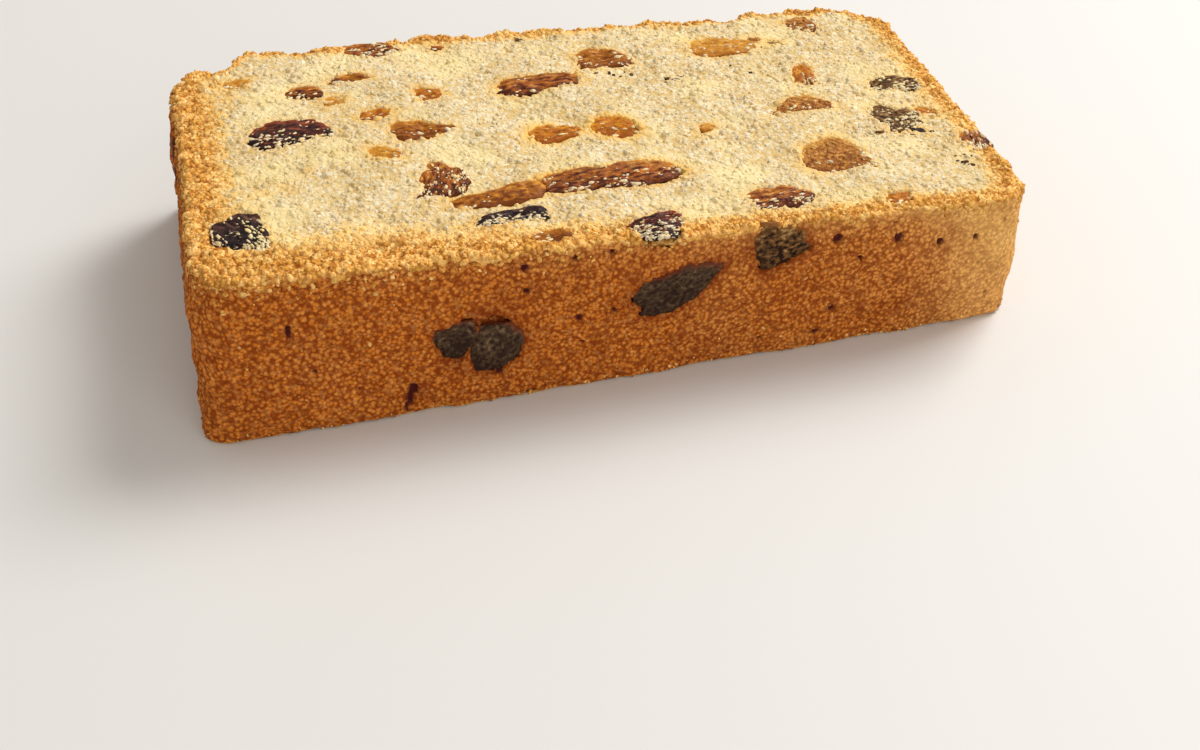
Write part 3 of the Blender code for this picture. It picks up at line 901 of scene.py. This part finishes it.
@dataclass
class CakeSlice:
    """The sponge with its crust, in two closed shells over the slice's solid, with crumb as relief.

    The skin's sizes are those of the solid: each corner has the signs of its x and y, and its radius at the
    base and at the cut face, and each wave a length in millimetres, a heading, a lean and a share. One shell
    is the cut face, a fine grid with a short skirt round it. The other is all below: rows down the sides,
    and rings on the base that draw in to a centre line. A patch of crumb whose random number is over
    pitless has a pit, and one of crust over holeless a pinhole. Golden widths are those of the left, right,
    front and back edge, and each buttery spot has a place and a size, all in millimetres.
    """

    width: float = 96.6 * MM
    depth: float = 53.4 * MM
    thick_left: float = 21.2 * MM
    thick_right: float = 17.7 * MM
    corners: tuple[tuple[float, ...], ...] = (
        (-1, -1, 3.2 * MM, 6.5 * MM), (1, -1, 4.2 * MM, 5.6 * MM), (1, 1, 6.0 * MM, 8.5 * MM),
        (-1, 1, 2.0 * MM, 2.0 * MM))
    least_radius: float = 0.2 * MM
    flare: tuple[float, float] = (0.4 * MM, 1.1 * MM)
    spread: tuple[float, float] = (2.0 * MM, 0.7 * MM)
    spread_power: float = 0.6
    base_twist: float = 0.9 * MM
    edge_softness: float = 0.5 * MM
    belly: float = 0.25 * MM
    face_swell: float = 0.22 * MM
    crust_crag: float = 0.25 * MM
    top_crust_crag: float = 1.1 * MM
    crag_sink: float = 0.35
    crag_rise: float = 0.35
    pitless: float = 0.78
    holeless: float = 0.86
    wave_rows: tuple[tuple[float, ...], ...] = ((16, 0.5, 0.4, 0.5), (8, -0.7, 0.7, 0.4), (5, 0.9, 0.9, 0.3))
    wave_bend: float = 1.3
    notch_width: float = 8.0 * MM
    notch_depth: float = 5.0 * MM
    notch_at_base: float = 0.45
    face_cells: tuple[int, int] = (396, 216)
    body_cells: tuple[int, int] = (310, 170)
    skirt: tuple[float, ...] = (0.25 * MM, 0.55 * MM, 0.9 * MM, 1.3 * MM, 1.7 * MM)
    body_top: float = 1.3 * MM
    underside: float = 2.3 * MM
    hidden_step: float = 0.7 * MM
    side_rows: int = 58
    base_rings: int = 28
    golden_widths: tuple[float, ...] = (5.0, 2.6, 2.4, 1.7)
    front_widening: float = 4.0
    pocket: float = 1.1 * MM
    pocket_edge: tuple[float, float] = (0.10 * MM, -0.16 * MM)
    face_reach: float = 1.6 * MM
    juice_reach: float = 1.1 * MM
    buttery: tuple[tuple[float, float, float], ...] = (
        (-36.3, -8.0, 1.5), (-33.9, -5.8, 1.2), (-39.4, -9.0, 1.2), (-36.0, -9.4, 0.8))
    shells: list[Shell] = field(default_factory=list)

    def waves(self, x: Array, y: Array, z: Array) -> Array:
        """Sum of crossing sine waves, each bent by the one before it."""
        total, bend = 0.0, 0.0
        for length, heading, lean, share in self.wave_rows:
            along = x * math.cos(heading) + y * math.sin(heading) + lean * z
            wave = np.sin(2 * np.pi * along / (length * MM) + bend)
            total = total + share * wave
            bend = self.wave_bend * wave
        return total

    def top_height(self, x: Array) -> Array:
        """Height of the cut face at x: the slice is a wedge."""
        return self.thick_left + (self.thick_right - self.thick_left) * (x / self.width + 0.5)

    def skin(self, u: Array, v: Array, level: Array) -> Array:
        """Places on the solid's skin.

        The formula: the square u, v is scaled to the plan at this level, each corner is turned on its
        radius, the sides are pushed in and out by waves, and the back left corner is notched.

        Args:
            u: From -1 at the left end to 1 at the right.
            v: From -1 at the front to 1 at the back.
            level: From 0 at the base to 1 at the cut face.
        Returns:
            The places, (..., 3), before the footprint is centred.
        """
        thickness = (self.thick_left + self.thick_right) / 2
        drawn = np.clip(1 - np.minimum(level, 1 - level) * thickness / self.edge_softness, 0, 1)
        inset = self.edge_softness * (1 - np.sqrt(1 - drawn**2)) + self.belly * (2 * level - 1) ** 2
        left = u < 0
        flare, spread = (np.where(left, *pair) for pair in (self.flare, self.spread))
        half_x = self.width / 2 + flare * (v + 1) / 2 + spread * (1 - level) ** self.spread_power - inset
        half_y = self.depth / 2 - inset
        radius = np.zeros_like(u)
        for side_x, side_y, at_base, at_cut in self.corners:
            here = (left == (side_x < 0)) & ((v < 0) == (side_y < 0))
            radius = np.where(here, at_base + (at_cut - at_base) * level, radius)
        radius = np.maximum(radius - inset, self.least_radius)
        x, y = u * half_x, v * half_y
        a, b = ((np.abs(w) - (half - radius)) / radius for w, half in ((x, half_x), (y, half_y)))
        corner = (a > 0) & (b > 0)
        pull = np.maximum(a, b) / np.maximum(np.hypot(a, b), 1e-9)
        x = np.where(corner, np.sign(x) * (half_x - radius + a * pull * radius), x)
        y = np.where(corner, np.sign(y) * (half_y - radius + b * pull * radius), y)
        y = y + self.base_twist * (1 - level) * (2 * x / self.width) * (1 - v) / 2
        z = level * self.top_height(x)
        rim = np.maximum(np.abs(u), np.abs(v)) ** 10
        out_x, out_y = np.sign(u) * np.abs(u) ** 12, np.sign(v) * np.abs(v) ** 12
        long = np.maximum(np.hypot(out_x, out_y), 1e-30)
        crag = self.crust_crag + (self.top_crust_crag - self.crust_crag) * smooth_step(0.8, 1.0, v)
        push = crag * np.clip(self.waves(x, y, z) - self.crag_sink, -1, self.crag_rise) * rim
        x, y = x + out_x / long * push, y + out_y / long * push
        notch = 1 - smooth_step(0.6 * self.notch_width, 1.25 * self.notch_width, x + self.width / 2)
        notch = notch * (self.notch_at_base + (1 - self.notch_at_base) * level)
        y = y - self.notch_depth * notch * smooth_step(0.55, 1.0, v)
        swell = self.face_swell * (self.waves(x, y, 0 * z) - 0.5 * rim)
        z = z + swell * smooth_step(0.9, 1.0, level)
        return np.stack([x, y, z], -1)

    def depth_level(self, u: Array, down: float) -> Array:
        """Level that lies so far below the cut face."""
        return 1 - down / self.top_height(u * self.width / 2)

    def lay_cut_face(self) -> Shell:
        """Lays the cut face: the grid, the skirt down the sides, and a hidden underside."""
        nx, ny = self.face_cells
        rows = ShellRows(nx, ny)
        u, v = np.meshgrid(np.linspace(-1, 1, nx + 1), np.linspace(-1, 1, ny + 1), indexing="ij")
        number = rows.add(u.ravel(), v.ravel(), np.ones(u.size), False).reshape(nx + 1, ny + 1)
        face = np.stack([number[:-1, :-1], number[1:, :-1], number[1:, 1:], number[:-1, 1:]], -1)
        rows.triangles.append(split_quads(face.reshape(-1, 4)))
        rim = np.concatenate([number[:-1, 0], number[-1, :-1], number[:0:-1, -1], number[0, :0:-1]])
        rows.chain([rim, *(rows.ring(self.depth_level(rows.ring_u, down)) for down in self.skirt),
                    rows.ring(self.depth_level(rows.ring_u, self.underside), hidden=True),
                    rows.line(self.depth_level(rows.line_u, self.underside), True, self.line_reach)])
        return rows.shell("cut_face")

    @property
    def line_reach(self) -> float:
        """How far the centre line runs towards the ends."""
        return 1 - self.depth / self.width

    def lay_body(self) -> Shell:
        """Lays all below the cut face: a hidden top, the sides and the base."""
        rows = ShellRows(*self.body_cells)
        lid_depth, start = self.underside - 0.2 * MM, self.depth_level(rows.ring_u, self.body_top)
        lid = [rows.line(self.depth_level(rows.line_u, lid_depth), True, self.line_reach),
               rows.ring(self.depth_level(rows.ring_u, lid_depth), True, 0.93, self.line_reach),
               rows.ring(self.depth_level(rows.ring_u, self.body_top - 0.3 * MM), hidden=True)]
        steps = np.arange(self.side_rows + 1) / self.side_rows
        levels = np.maximum(1 - (steps - 0.5 * np.sin(2 * np.pi * steps) / (2 * np.pi)), 0.0)
        base = 1 - np.arange(1, self.base_rings) / self.base_rings
        rows.chain([*lid, *(rows.ring(start * level) for level in levels),
                    *(rows.ring(0.0, share=share, reach=self.line_reach) for share in base),
                    rows.line(0.0, False, self.line_reach)])
        return rows.shell("sponge")

    def mark(self, shell: Shell) -> None:
        """Works out the values that the finish reads: where there is crust, golden edge and open cut.

        The formula: crust begins a ragged half millimetre below the cut edge. The golden edge fades with
        the distance from each side, by a bell curve that is widest at the left end. The crust is golden
        near the cut, golden at the right end and a little paler all the way to the right, partly by its bake
        and partly as painted light from the right, and brown elsewhere.
        """
        u, v, level, points = shell.u, shell.v, shell.level, shell.points
        top = self.top_height(points[:, 0])
        down, up = (1 - level) * top, level * top
        ragged = layered_noise(points, (1, 1.1, 31), (0.6, 0.5, 32))
        uneven = 0.55 * MM * ragged + layered_noise(points, (0.6 * MM, 2.8, 36))
        below = np.where(level == 1, -1 * MM, down + uneven)
        crust = smooth_step(0.1 * MM, 1.2 * MM, below)
        crust = np.where(level == 0, 0.0, crust * smooth_step(0.0, 0.5 * MM, up + 0.15 * MM * ragged))
        blur = 1 + 0.30 * soft_noise(points, 5 * MM, 33) + 0.22 * ragged
        left, right, front, back = self.golden_widths
        front = front + self.front_widening * smooth_step(0.15, -0.75, u)
        rest = 1.0
        for twice_away, wide in (((1 + u) * self.width, left), ((1 - u) * self.width, right),
                                 ((1 + v) * self.depth, front), ((1 - v) * self.depth, back)):
            rest = rest * (1 - np.exp(-((twice_away / 2 / (wide * MM * blur)) ** 2)))
        # Golden at the right end and a little paler all the way to the right: partly the bake, partly painted
        # light from the right.
        golden_end_and_painted_light = smooth_step(0.60, 0.94, u) * (1 - 0.25 * smooth_step(0.0, 14 * MM, down))
        near_cut = (0.35 + 0.4 * smooth_step(-0.5, 0.6, u)) * np.exp(-(down / (1.8 * MM)))
        bake = 1 - near_cut - 0.95 * golden_end_and_painted_light - 0.12 * smooth_step(-0.4, 0.7, u)
        shell.values = {
            "crust": crust,
            "band": np.where((level < 1) & (level > 0), 1.0, 1 - rest),
            "bake": np.clip(bake + 0.12 * soft_noise(points, 9 * MM, 35), 0, 1),
            "tint": layered_noise(points, (0.05, 7, 34), (0.07, 1.6, 37)) - 0.01,
        }

    def relief(self, shell: Shell) -> Array:
        """Height of the crumb and crust over the skin. It also marks raised places and holes.

        The formula: domes at scattered grains of two sizes, soft swells and sparse round pits in the crumb,
        the same much lower on the crust with pinholes, and deeper crags at the back and the left end.

        Args:
            shell: The shell, with its places on the skin.
        Returns:
            The height in metres.
        """
        points, values = shell.points, shell.values
        crust = values["crust"]
        (near, _), (small, _), (far, owner), (dot, picked) = (
            grain_noise(points, size * MM, seed)
            for size, seed in ((0.95, 41), (0.52, 43), (3.4, 51), (2.6, 71)))
        domes, beads = 0.55 - near, 0.5 - small
        swell = soft_noise(points, 2.4 * MM, 61)
        spare = owner - self.pitless
        pit = smooth_step(1.0, 0.35, far / np.where(spare > 0, 0.08 + 0.6 * spare, 1e-3))
        crumb = 0.24 * domes + 0.14 * beads + 0.12 * swell + layered_noise(points, (0.12, 6.5, 63))
        crumb = crumb * (1 + 0.4 * values["band"]) - 0.40 * pit
        hole = np.where(picked > self.holeless, 0.7 * smooth_step(0.20, 0.08, dot), 0.0)
        elsewhere = 9 * (points[:, 1] > -0.4 * self.depth)
        for x, low, wide, *tall in HOLES:
            across = (points[:, 0] - x * MM) / (wide * MM / 2)
            down = (self.top_height(points[:, 0]) - points[:, 2] - low * MM) / ((tall or [wide])[0] * MM / 2)
            hole = np.maximum(hole, smooth_step(1.35, 0.85, np.hypot(across, down) + elsewhere))
        baked = 0.13 * domes + 0.10 * beads + 0.13 * swell - 0.50 * hole
        height = crumb * (1 - crust) + baked * crust
        crag = layered_noise(points, (0.40, 3.1, 81), (0.28, 1.4, 82)) + 0.35 * domes
        back = smooth_step(0.9, 1.0, shell.v) * np.where(shell.level < 1, 1.0, 0.7)
        height += crag * (back + 0.7 * smooth_step(-0.95, -1.0, shell.u) * (1 - back))
        # lift sets the painted shade in the crumb's low places, and pore the painted shade in the crust's
        # holes.
        values["lift"] = np.clip(height / 0.25, -1, 1)
        values["pore"] = hole * crust
        return MM * height * ~shell.hidden

    def sink_pockets(self, shell: Shell, fruits: list[FruitPiece]) -> None:
        """Draws the skin in under each piece of fruit, and marks juice round it.

        The formula: inside a ragged line the skin drops by a smooth step. The line wanders by noise, more
        on the shaded side, so that crumbs lie over the fruit's edge. Juice fades over a millimetre
        outside it.
        """
        points = shell.points
        nearest = np.full(len(points), 9.0)
        stain = np.zeros(len(points))
        noise = layered_noise(points, (1, 0.75, 91), (0.5, 0.4, 92))
        for fruit in fruits:
            close = np.linalg.norm(points - fruit.centre, axis=1) < 1.6 * fruit.half_length + 2 * MM
            index = np.flatnonzero(close & ~shell.hidden)
            share, height = fruit.reach(points[index])
            on_face = np.abs(height) < self.face_reach
            index, share = index[on_face], share[on_face]
            outside = (share - 1) * math.sqrt(fruit.half_length * fruit.half_width)
            shaded = smooth_step(0.3, -0.6, fruit.lean(points[index]))
            wander = (0.25 + 0.35 * shaded) * MM * noise[index] * (0.5 + fruit.look.flecks)
            drop = self.pocket * smooth_step(*self.pocket_edge, outside + wander)
            points[index] -= drop[:, None] * fruit.face.normal
            nearest[index] = np.minimum(nearest[index], share)
            halo = np.exp(-((np.maximum(outside, 0) / self.juice_reach) ** 2))
            stain[index] = np.maximum(stain[index], fruit.look.juice * halo)
        for x, y, wide in self.buttery:
            away = np.hypot(points[:, 0] - x * MM, points[:, 1] - y * MM) / (wide * MM)
            stain = np.maximum(stain, 0.42 * smooth_step(1.4, 0.5, away + 0.5 * noise) * (shell.level == 1))
        shell.values["stain"] = stain
        shell.values["reach"] = nearest

    def build(self, fruits: list[FruitPiece], material: Material) -> None:
        """Builds both shells in place of the slice's solid.

        Args:
            fruits: The pieces of fruit that they make room for.
            material: Their finish.
        """
        low, high = (np.array(corner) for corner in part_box("cake"))
        self.shells = [self.lay_body(), self.lay_cut_face()]
        for shell in self.shells:
            shell.points = self.skin(shell.u, shell.v, shell.level)
        middle = (self.shells[0].points.min(0) + self.shells[0].points.max(0)) / 2
        for shell in self.shells:
            points = shell.points
            points[:, :2] += ((low + high) / 2 - middle)[:2]
            self.mark(shell)
            height = self.relief(shell)
            normals = corner_normals(points, shell.triangles)
            foot = smooth_step(0.0, 1.0 * MM, points[:, 2])
            points += normals * (height * np.where(shell.level == 0, 0.0, 0.3 + 0.7 * foot))[:, None]
            edge = shell.hidden & (shell.outward > 0.99)
            points[edge, :2] *= 1 - self.hidden_step / np.array([self.width, self.depth]) * 2
            self.sink_pockets(shell, fruits)
            on_base = shell.level == 0
            points[on_base, 2] += np.maximum(-height[on_base], 0)
            points[:, 2] = np.maximum(points[:, 2], 0.0)
            held = {key: shell.values[key] for key in (*SAMPLED, "lift", "pore")}
            make_object(shell.name, points, shell.triangles, held, material, "cake", "cake")

    def sample(self, shell: Shell, weight: Array, count: int,
               seed: int) -> tuple[Array, Array, dict[str, Array]]:
        """Draws random places on a shell.

        Args:
            shell: The shell.
            weight: How likely each vertex's neighbourhood is, for a unit of area.
            count: How many places.
            seed: Seed of the draw.
        Returns:
            The places, their normals, and the finish's values there.
        """
        draw = np.random.default_rng(seed)
        points, triangles = shell.points, shell.triangles
        area = np.linalg.norm(area_normals(points, triangles), axis=1)
        shown = weight * (~shell.hidden) * (shell.values["reach"] > 1)
        chance = np.cumsum(area * shown[triangles].mean(1))
        chosen = triangles[np.searchsorted(chance, draw.random(count) * chance[-1])]
        share = draw.dirichlet((1, 1, 1), count)
        places, outward = ((value[chosen] * share[..., None]).sum(1)
                           for value in (points, corner_normals(points, triangles)))
        return places, outward, {key: (shell.values[key][chosen] * share).sum(1) for key in SAMPLED}


# Crumbs

def grain_solid(fine: bool) -> tuple[Array, Array]:
    """A regular solid on a sphere of radius 1: an octahedron for fine grains, or else an icosahedron.

    The formula: an icosahedron's corners are the turns of 0, 1 and the golden ratio with all signs, and a
    triangle lies between any three corners that are an edge apart.

    Returns:
        The corners, and the corner numbers of each triangle.
    """
    if fine:
        corners, edge = np.concatenate([np.eye(3), -np.eye(3)]), math.sqrt(2)
    else:
        golden = (1 + math.sqrt(5)) / 2
        signs = np.array([(0, a, b) for a in (-1, 1) for b in (-golden, golden)])
        corners, edge = np.concatenate([np.roll(signs, axis, axis=1) for axis in range(3)]), 2.0
    near = np.abs(np.linalg.norm(corners[:, None] - corners[None], axis=-1) - edge) < 0.01
    count = len(corners)
    faces = [(i, j, k) for i in range(count) for j in range(i + 1, count) for k in range(j + 1, count)
             if near[i, j] and near[j, k] and near[i, k]]
    turned = [face if np.linalg.det(corners[list(face)]) > 0 else face[::-1] for face in faces]
    return corners / np.linalg.norm(corners[0]), np.array(turned)


@dataclass
class Crumbs:
    """Grains joined in one mesh: dented solids, each turned and stretched its own way."""

    name: str
    sizes: tuple[float, float]
    sunk: float
    seed: int
    fine: bool = False
    dent: float = 0.35
    tint: float = 0.20
    bright: float = 0.0
    lengthen: float = 0.0
    slot: str = "cake"

    def build(self, places: Array, outward: Array, values: dict[str, Array],
              material: Material, along: Array | None = None) -> None:
        """Builds the grains at their places.

        Args:
            places: Where each grain sits on the surface.
            outward: The surface's normal there.
            values: The finish's values there.
            material: Their finish.
            along: The direction in which each is lengthened.
        """
        corners, faces = grain_solid(self.fine)
        count, each = len(places), len(corners)
        draw = np.random.default_rng(self.seed)
        turn = np.linalg.qr(draw.normal(size=(count, 3, 3)))[0]
        turn *= np.sign(np.linalg.det(turn))[:, None, None]
        low, high = (size * MM for size in self.sizes)
        radius = 0.5 * (low + (high - low) * draw.random(count) ** 2.0)
        stretch = draw.uniform(0.7, 1.3, (count, 1, 3))
        dented = corners * (1 + self.dent * draw.uniform(-1, 1, (count, each, 1)))
        shaped = np.einsum("nij,nkj->nki", turn, dented * stretch) * radius[:, None, None]
        if along is not None:
            share = draw.random(count)[:, None, None] * self.lengthen
            shaped += share * (shaped * along[:, None]).sum(-1, keepdims=True) * along[:, None]
        centre = places - outward * (self.sunk * radius)[:, None]
        points = (centre[:, None] + shaped).reshape(-1, 3)
        points[:, 2] = np.maximum(points[:, 2], 0.0)
        triangles = (np.arange(count)[:, None, None] * each + faces).reshape(-1, 3)
        full = {key: np.repeat(value, each, axis=0) for key, value in values.items()}
        spread = np.repeat(self.bright + self.tint * draw.uniform(-1, 1, count), each)
        full["tint"] = full.get("tint", 0) + spread
        make_object(self.name, points, triangles, full, material, self.slot)


def scatter_crumbs(cake: CakeSlice, material: Material) -> None:
    """Scatters the grains on the cut face, its edges, the crust and the foot.

    Args:
        cake: The built sponge.
        material: The finish of the grains.
    """
    body, top = cake.shells
    flat = top.level == 1
    band, crust = top.values["band"], top.values["crust"]
    lip = np.where(flat, smooth_step(0.985, 1.0, top.outward), 1.0)
    left = 0.35 + smooth_step(0.3, -0.9, top.u)
    height = body.points[:, 2]
    foot = smooth_step(1.6 * MM, 0.2 * MM, height) * (body.level > 0)
    rough = body.values["crust"] * (body.values["pore"] <= 0.05)
    below = cake.top_height(body.points[:, 0]) - height
    spill = rough * np.exp(-((below / (1.9 * MM)) ** 2)) * (0.35 + smooth_step(0.2, -0.8, body.u))
    kinds = (
        (top, Crumbs("crumb_face", (0.45, 1.25), 0.62, 201, tint=0.09), flat * (1 - 0.4 * band), 8500),
        (top, Crumbs("crumb_face_fine", (0.30, 0.60), 0.55, 202, True, 0.25, 0.09), flat, 6000),
        (top, Crumbs("crumb_edge", (0.32, 1.0), 0.45, 203), band * flat, 7500),
        (top, Crumbs("crumb_lip", (0.28, 1.0), 0.35, 205), lip * left * (1 - 0.6 * crust), 1500),
        (body, Crumbs("crumb_spill", (0.25, 0.85), 0.45, 208), spill, 700),
        (body, Crumbs("crumb_crust", (0.28, 0.70), 0.80, 204), rough, 6500),
        (body, Crumbs("crumb_stray", (0.25, 0.60), 0.2, 207), rough, 110),
        (body, Crumbs("crumb_foot", (0.20, 0.55), 0.1, 206, dent=0.25, tint=0.25), foot, 600),
    )
    for shell, crumbs, weight, count in kinds:
        places, outward, values = cake.sample(shell, weight, count, crumbs.seed + 50)
        draw = np.random.default_rng(crumbs.seed + 90)
        values["pore"] = np.zeros(count)
        # Each grain's lift also sets how much of the painted crease shade it takes.
        values["lift"] = draw.uniform(0.2, 1.0, count)
        if crumbs.name in ("crumb_lip", "crumb_spill", "crumb_foot", "crumb_stray"):
            values["crust"] = values["crust"] * (draw.random(count) >= 0.5)
            values["band"] = np.maximum(values["band"], 0.9) * draw.uniform(0.75, 1.2, count)
        crumbs.build(places, outward, values, material)


def scatter_flecks(fruits: list[FruitPiece], material: Material) -> None:
    """Sticks grains of crumb on the cut fruit, in clusters, most of them on its shaded side.

    Args:
        fruits: The pieces of fruit.
        material: The finish of the grains.
    """
    draw = np.random.default_rng(301)
    places, outward, along = [], [], []
    for fruit in fruits:
        area = math.pi * fruit.half_length * fruit.half_width / MM**2
        count = int(area * 22 * fruit.look.flecks)
        share = np.sqrt(draw.random(count))
        spot, _ = fruit.surface(draw.uniform(0, 2 * np.pi, count), share, np.zeros(count, bool))
        cluster = soft_noise(spot * np.array([0.6, 1.0, 1.0]), 1.0 * MM, 95)
        chance = 0.14 - 0.42 * fruit.lean(spot) + 0.60 * cluster + 0.3 * share**4
        keep = draw.random(count) < np.clip(chance, 0.02, 1)
        places.append(spot[keep])
        outward.append(np.broadcast_to(fruit.face.normal, spot[keep].shape))
        along.append(np.broadcast_to(fruit.axes[0], spot[keep].shape))
    spots = np.concatenate(places)
    count = len(spots)
    values = {key: np.zeros(count) for key in ("crust", "bake", "stain", "pore")}
    values |= {"band": draw.uniform(0.0, 0.25, count), "lift": np.ones(count)}
    Crumbs("crumb_on_fruit", (0.18, 0.50), 0.25, 302, dent=0.5, tint=0.09, bright=0.08, lengthen=1.8).build(
        spots, np.concatenate(outward), values, material, np.concatenate(along))


# Small bits of fruit, which have no node: skin, place along and across the cut face, length, width, turn
BITS = (
    (Y, -40.4, 17.5, 3.0, 2.2, 10), (Y, -28.8, 11.0, 2.6, 2.2, -20), (A, 32.2, -23.6, 2.8, 2.2, 5),
    (A, 44.0, -4.9, 3.0, 2.0, -50), (Y, 15.1, -3.7, 1.4, 1.1, 20), (W, 28.6, 18.3, 1.9, 1.0, -25),
    (O, 31.2, 17.2, 1.8, 1.0, -20), (P, 38.6, -8.7, 2.0, 1.0, 8), (P, 41.0, -9.1, 1.3, 0.9, -10),
    (R, -14.0, 23.6, 1.5, 0.9, 0), (N, 36.5, 22.6, 2.2, 1.4, -10),
)

# Clusters of tiny dark specks on the cut face: place along and across, spread along and across, count
SPECKS = ((14.5, 9.6, 2.2, 1.3, 16), (29.5, 17.8, 2.4, 1.6, 16), (39.6, -9.2, 2.4, 0.8, 16),
          (-3.0, 23.6, 1.0, 0.6, 4), (40.8, 6.0, 1.6, 0.8, 8), (43.5, -17.0, 2.4, 1.6, 8),
          (7.5, 12.0, 3.0, 0.8, 8), (22.0, 10.5, 3.0, 2.0, 7))


def bit_pieces(cake: CakeSlice) -> list[FruitPiece]:
    """The small bits of fruit on the cut face."""
    pieces = []
    for number, (skin, x, y, length, width, turn) in enumerate(BITS):
        centre = np.array([x * MM, y * MM, cake.top_height(x * MM)])
        look = FruitLook(skin, 0.1, 0.0, 2.2, 0.22, 0.25, 0.6)
        room = length * MM
        pieces.append(FruitPiece(
            f"bit_{number + 1:02d}", Face.TOP, look, centre, math.radians(turn), length * MM / 2,
            width * MM / 2, 1.2 * MM, 900 + number, centre - room, centre + room, waist=0.35 * MM,
            rows=20, columns=36))
    return pieces


def build_bits(pieces: list[FruitPiece], skins: dict[FruitSkin, Material]) -> None:
    """Joins the small bits of each skin in one mesh."""
    for skin in FruitSkin:
        meshes = [piece.mesh() for piece in pieces if piece.look.skin is skin]
        if not meshes:
            continue
        starts = np.cumsum([0] + [len(points) for points, _, _ in meshes[:-1]])
        triangles = np.concatenate([mesh[1] + start for mesh, start in zip(meshes, starts)])
        values = {key: np.concatenate([mesh[2][key] for mesh in meshes]) for key in meshes[0][2]}
        points = np.concatenate([mesh[0] for mesh in meshes])
        name = skin.value.name
        make_object("bits_" + name, points, triangles, values, skins[skin], name.split("_")[0])


def scatter_specks(cake: CakeSlice, material: Material) -> None:
    """Scatters tiny dark shreds of raisin skin in the crumb of the cut face."""
    draw = np.random.default_rng(401)
    places = []
    for x, y, wide, deep, count in SPECKS:
        spot = np.stack([draw.normal(x, wide / 2, count), draw.normal(y, deep / 2, count)], -1) * MM
        places.append(np.column_stack([spot, cake.top_height(spot[:, 0])]))
    spots = np.concatenate(places)
    count = len(spots)
    up, along = np.tile([0.0, 0.0, 1.0], (count, 1)), np.tile([1.0, 0.0, 0.0], (count, 1))
    values = {"plan": spots, **{key: np.zeros(count) for key in ("rim", "lean", "smear")}}
    Crumbs("raisin_specks", (0.25, 0.60), 0.4, 402, dent=0.25, tint=0.09, lengthen=1.5, slot="raisin").build(
        spots, up, values, material, along)


# The studio

# The soft lights: name, place, size, power and colour
LIGHTS = (("key", (0.60, 0.30, 0.70), 0.5, 8.5, (1.0, 0.99, 0.975)),
          ("fill", (0.25, -0.85, 0.45), 0.7, 2.4, (1.0, 0.97, 0.93)))


@dataclass
class Studio:
    """A pale floor, soft light from the right and the back, and the camera at the photograph's angle."""

    camera_place: tuple[float, float, float] = (-39.227 * MM, -158.419 * MM, 110.9 * MM)
    yaw: float = math.radians(-14.8)
    pitch: float = math.radians(38.8)
    roll: float = math.radians(0.4)
    lens: float = 45.0
    floor_half: float = 2.0
    floor_colour: Colour = (0.72, 0.71, 0.69)
    world_strength: float = 0.50
    world_colour: Colour = (1.0, 0.955, 0.88)

    def aim(self) -> Matrix:
        """The camera's turn: ahead is down by the pitch and round by the yaw, then it rolls."""
        turn = Matrix.Rotation(self.yaw, 3, "Z")
        ahead = turn @ Vector((0, math.cos(self.pitch), -math.sin(self.pitch)))
        level = turn @ Vector((1, 0, 0))
        up = level.cross(ahead)
        right = math.cos(self.roll) * level + math.sin(self.roll) * up
        up = math.cos(self.roll) * up - math.sin(self.roll) * level
        return Matrix((right, up, -ahead)).transposed()

    def place_camera(self) -> None:
        """Makes the scene's camera."""
        data = bpy.data.cameras.new("camera")
        data.lens, data.sensor_width = self.lens, 36.0
        data.clip_start, data.clip_end = 0.01, 20.0
        camera = link_object("camera", data)
        camera.matrix_world = Matrix.Translation(self.camera_place) @ self.aim().to_4x4()
        bpy.context.scene.camera = camera

    def lay_floor(self) -> None:
        """Lays the floor just under the slice."""
        half = self.floor_half
        mesh = bpy.data.meshes.new("floor")
        mesh.from_pydata([(-half, -half, 0), (half, -half, 0), (half, half, 0), (-half, half, 0)], [],
                         [(0, 1, 2, 3)])
        mesh.transform(Matrix.Translation((0, 0, -0.05 * MM)))
        mesh.materials.append(Coating("floor").finish(self.floor_colour, 0.6))
        link_object("floor", mesh)

    def hang_light(self, name: str, place: tuple[float, float, float], size: float, power: float,
                   colour: Colour) -> None:
        """Hangs a square soft light that faces the slice."""
        data = bpy.data.lights.new(name, "AREA")
        data.size, data.energy, data.color = size, power, colour
        light = link_object(name, data)
        light.location = place
        light.rotation_euler = (-Vector(place)).to_track_quat("-Z", "Y").to_euler()

    def build(self) -> None:
        """Builds the studio."""
        self.place_camera()
        self.lay_floor()
        for light in LIGHTS:
            self.hang_light(*light)
        world = bpy.data.worlds.new("world")
        bpy.context.scene.world = world
        world.use_nodes = True
        sky = world.node_tree.nodes["Background"].inputs
        sky["Color"].default_value = (*self.world_colour, 1.0)
        sky["Strength"].default_value = self.world_strength
        view = bpy.context.scene.view_settings
        view.view_transform, view.look = "Standard", "None"


def node_points(obj: bpy.types.Object) -> Array:
    """The vertices of a node."""
    places = np.zeros(len(obj.data.vertices) * 3, np.float32)
    obj.data.vertices.foreach_get("co", places)
    return places.reshape(-1, 3).astype(float)


def main() -> None:
    """Builds the slice's looks and the studio."""
    logging.basicConfig(level=logging.INFO, format="%(message)s")
    effects = Effects()
    cake_material = CakeFinish().material(effects)
    skins = {skin: skin.value.material(effects) for skin in FruitSkin}
    names = sorted(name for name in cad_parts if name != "cake")
    fruits = [FruitPiece.from_node(name, node_points(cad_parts[name]), 100 + 7 * k)
              for k, name in enumerate(names)]
    cake = CakeSlice()
    bits = bit_pieces(cake)
    cake.build(fruits + bits, cake_material)
    for fruit in fruits:
        fruit.build(skins)
    build_bits(bits, skins)
    scatter_crumbs(cake, cake_material)
    scatter_flecks([piece for piece in fruits + bits if piece.face in (Face.TOP, Face.BASE)], cake_material)
    scatter_specks(cake, skins[FruitSkin.OLIVE])
    Studio().build()


if __name__ == "__main__":
    main()
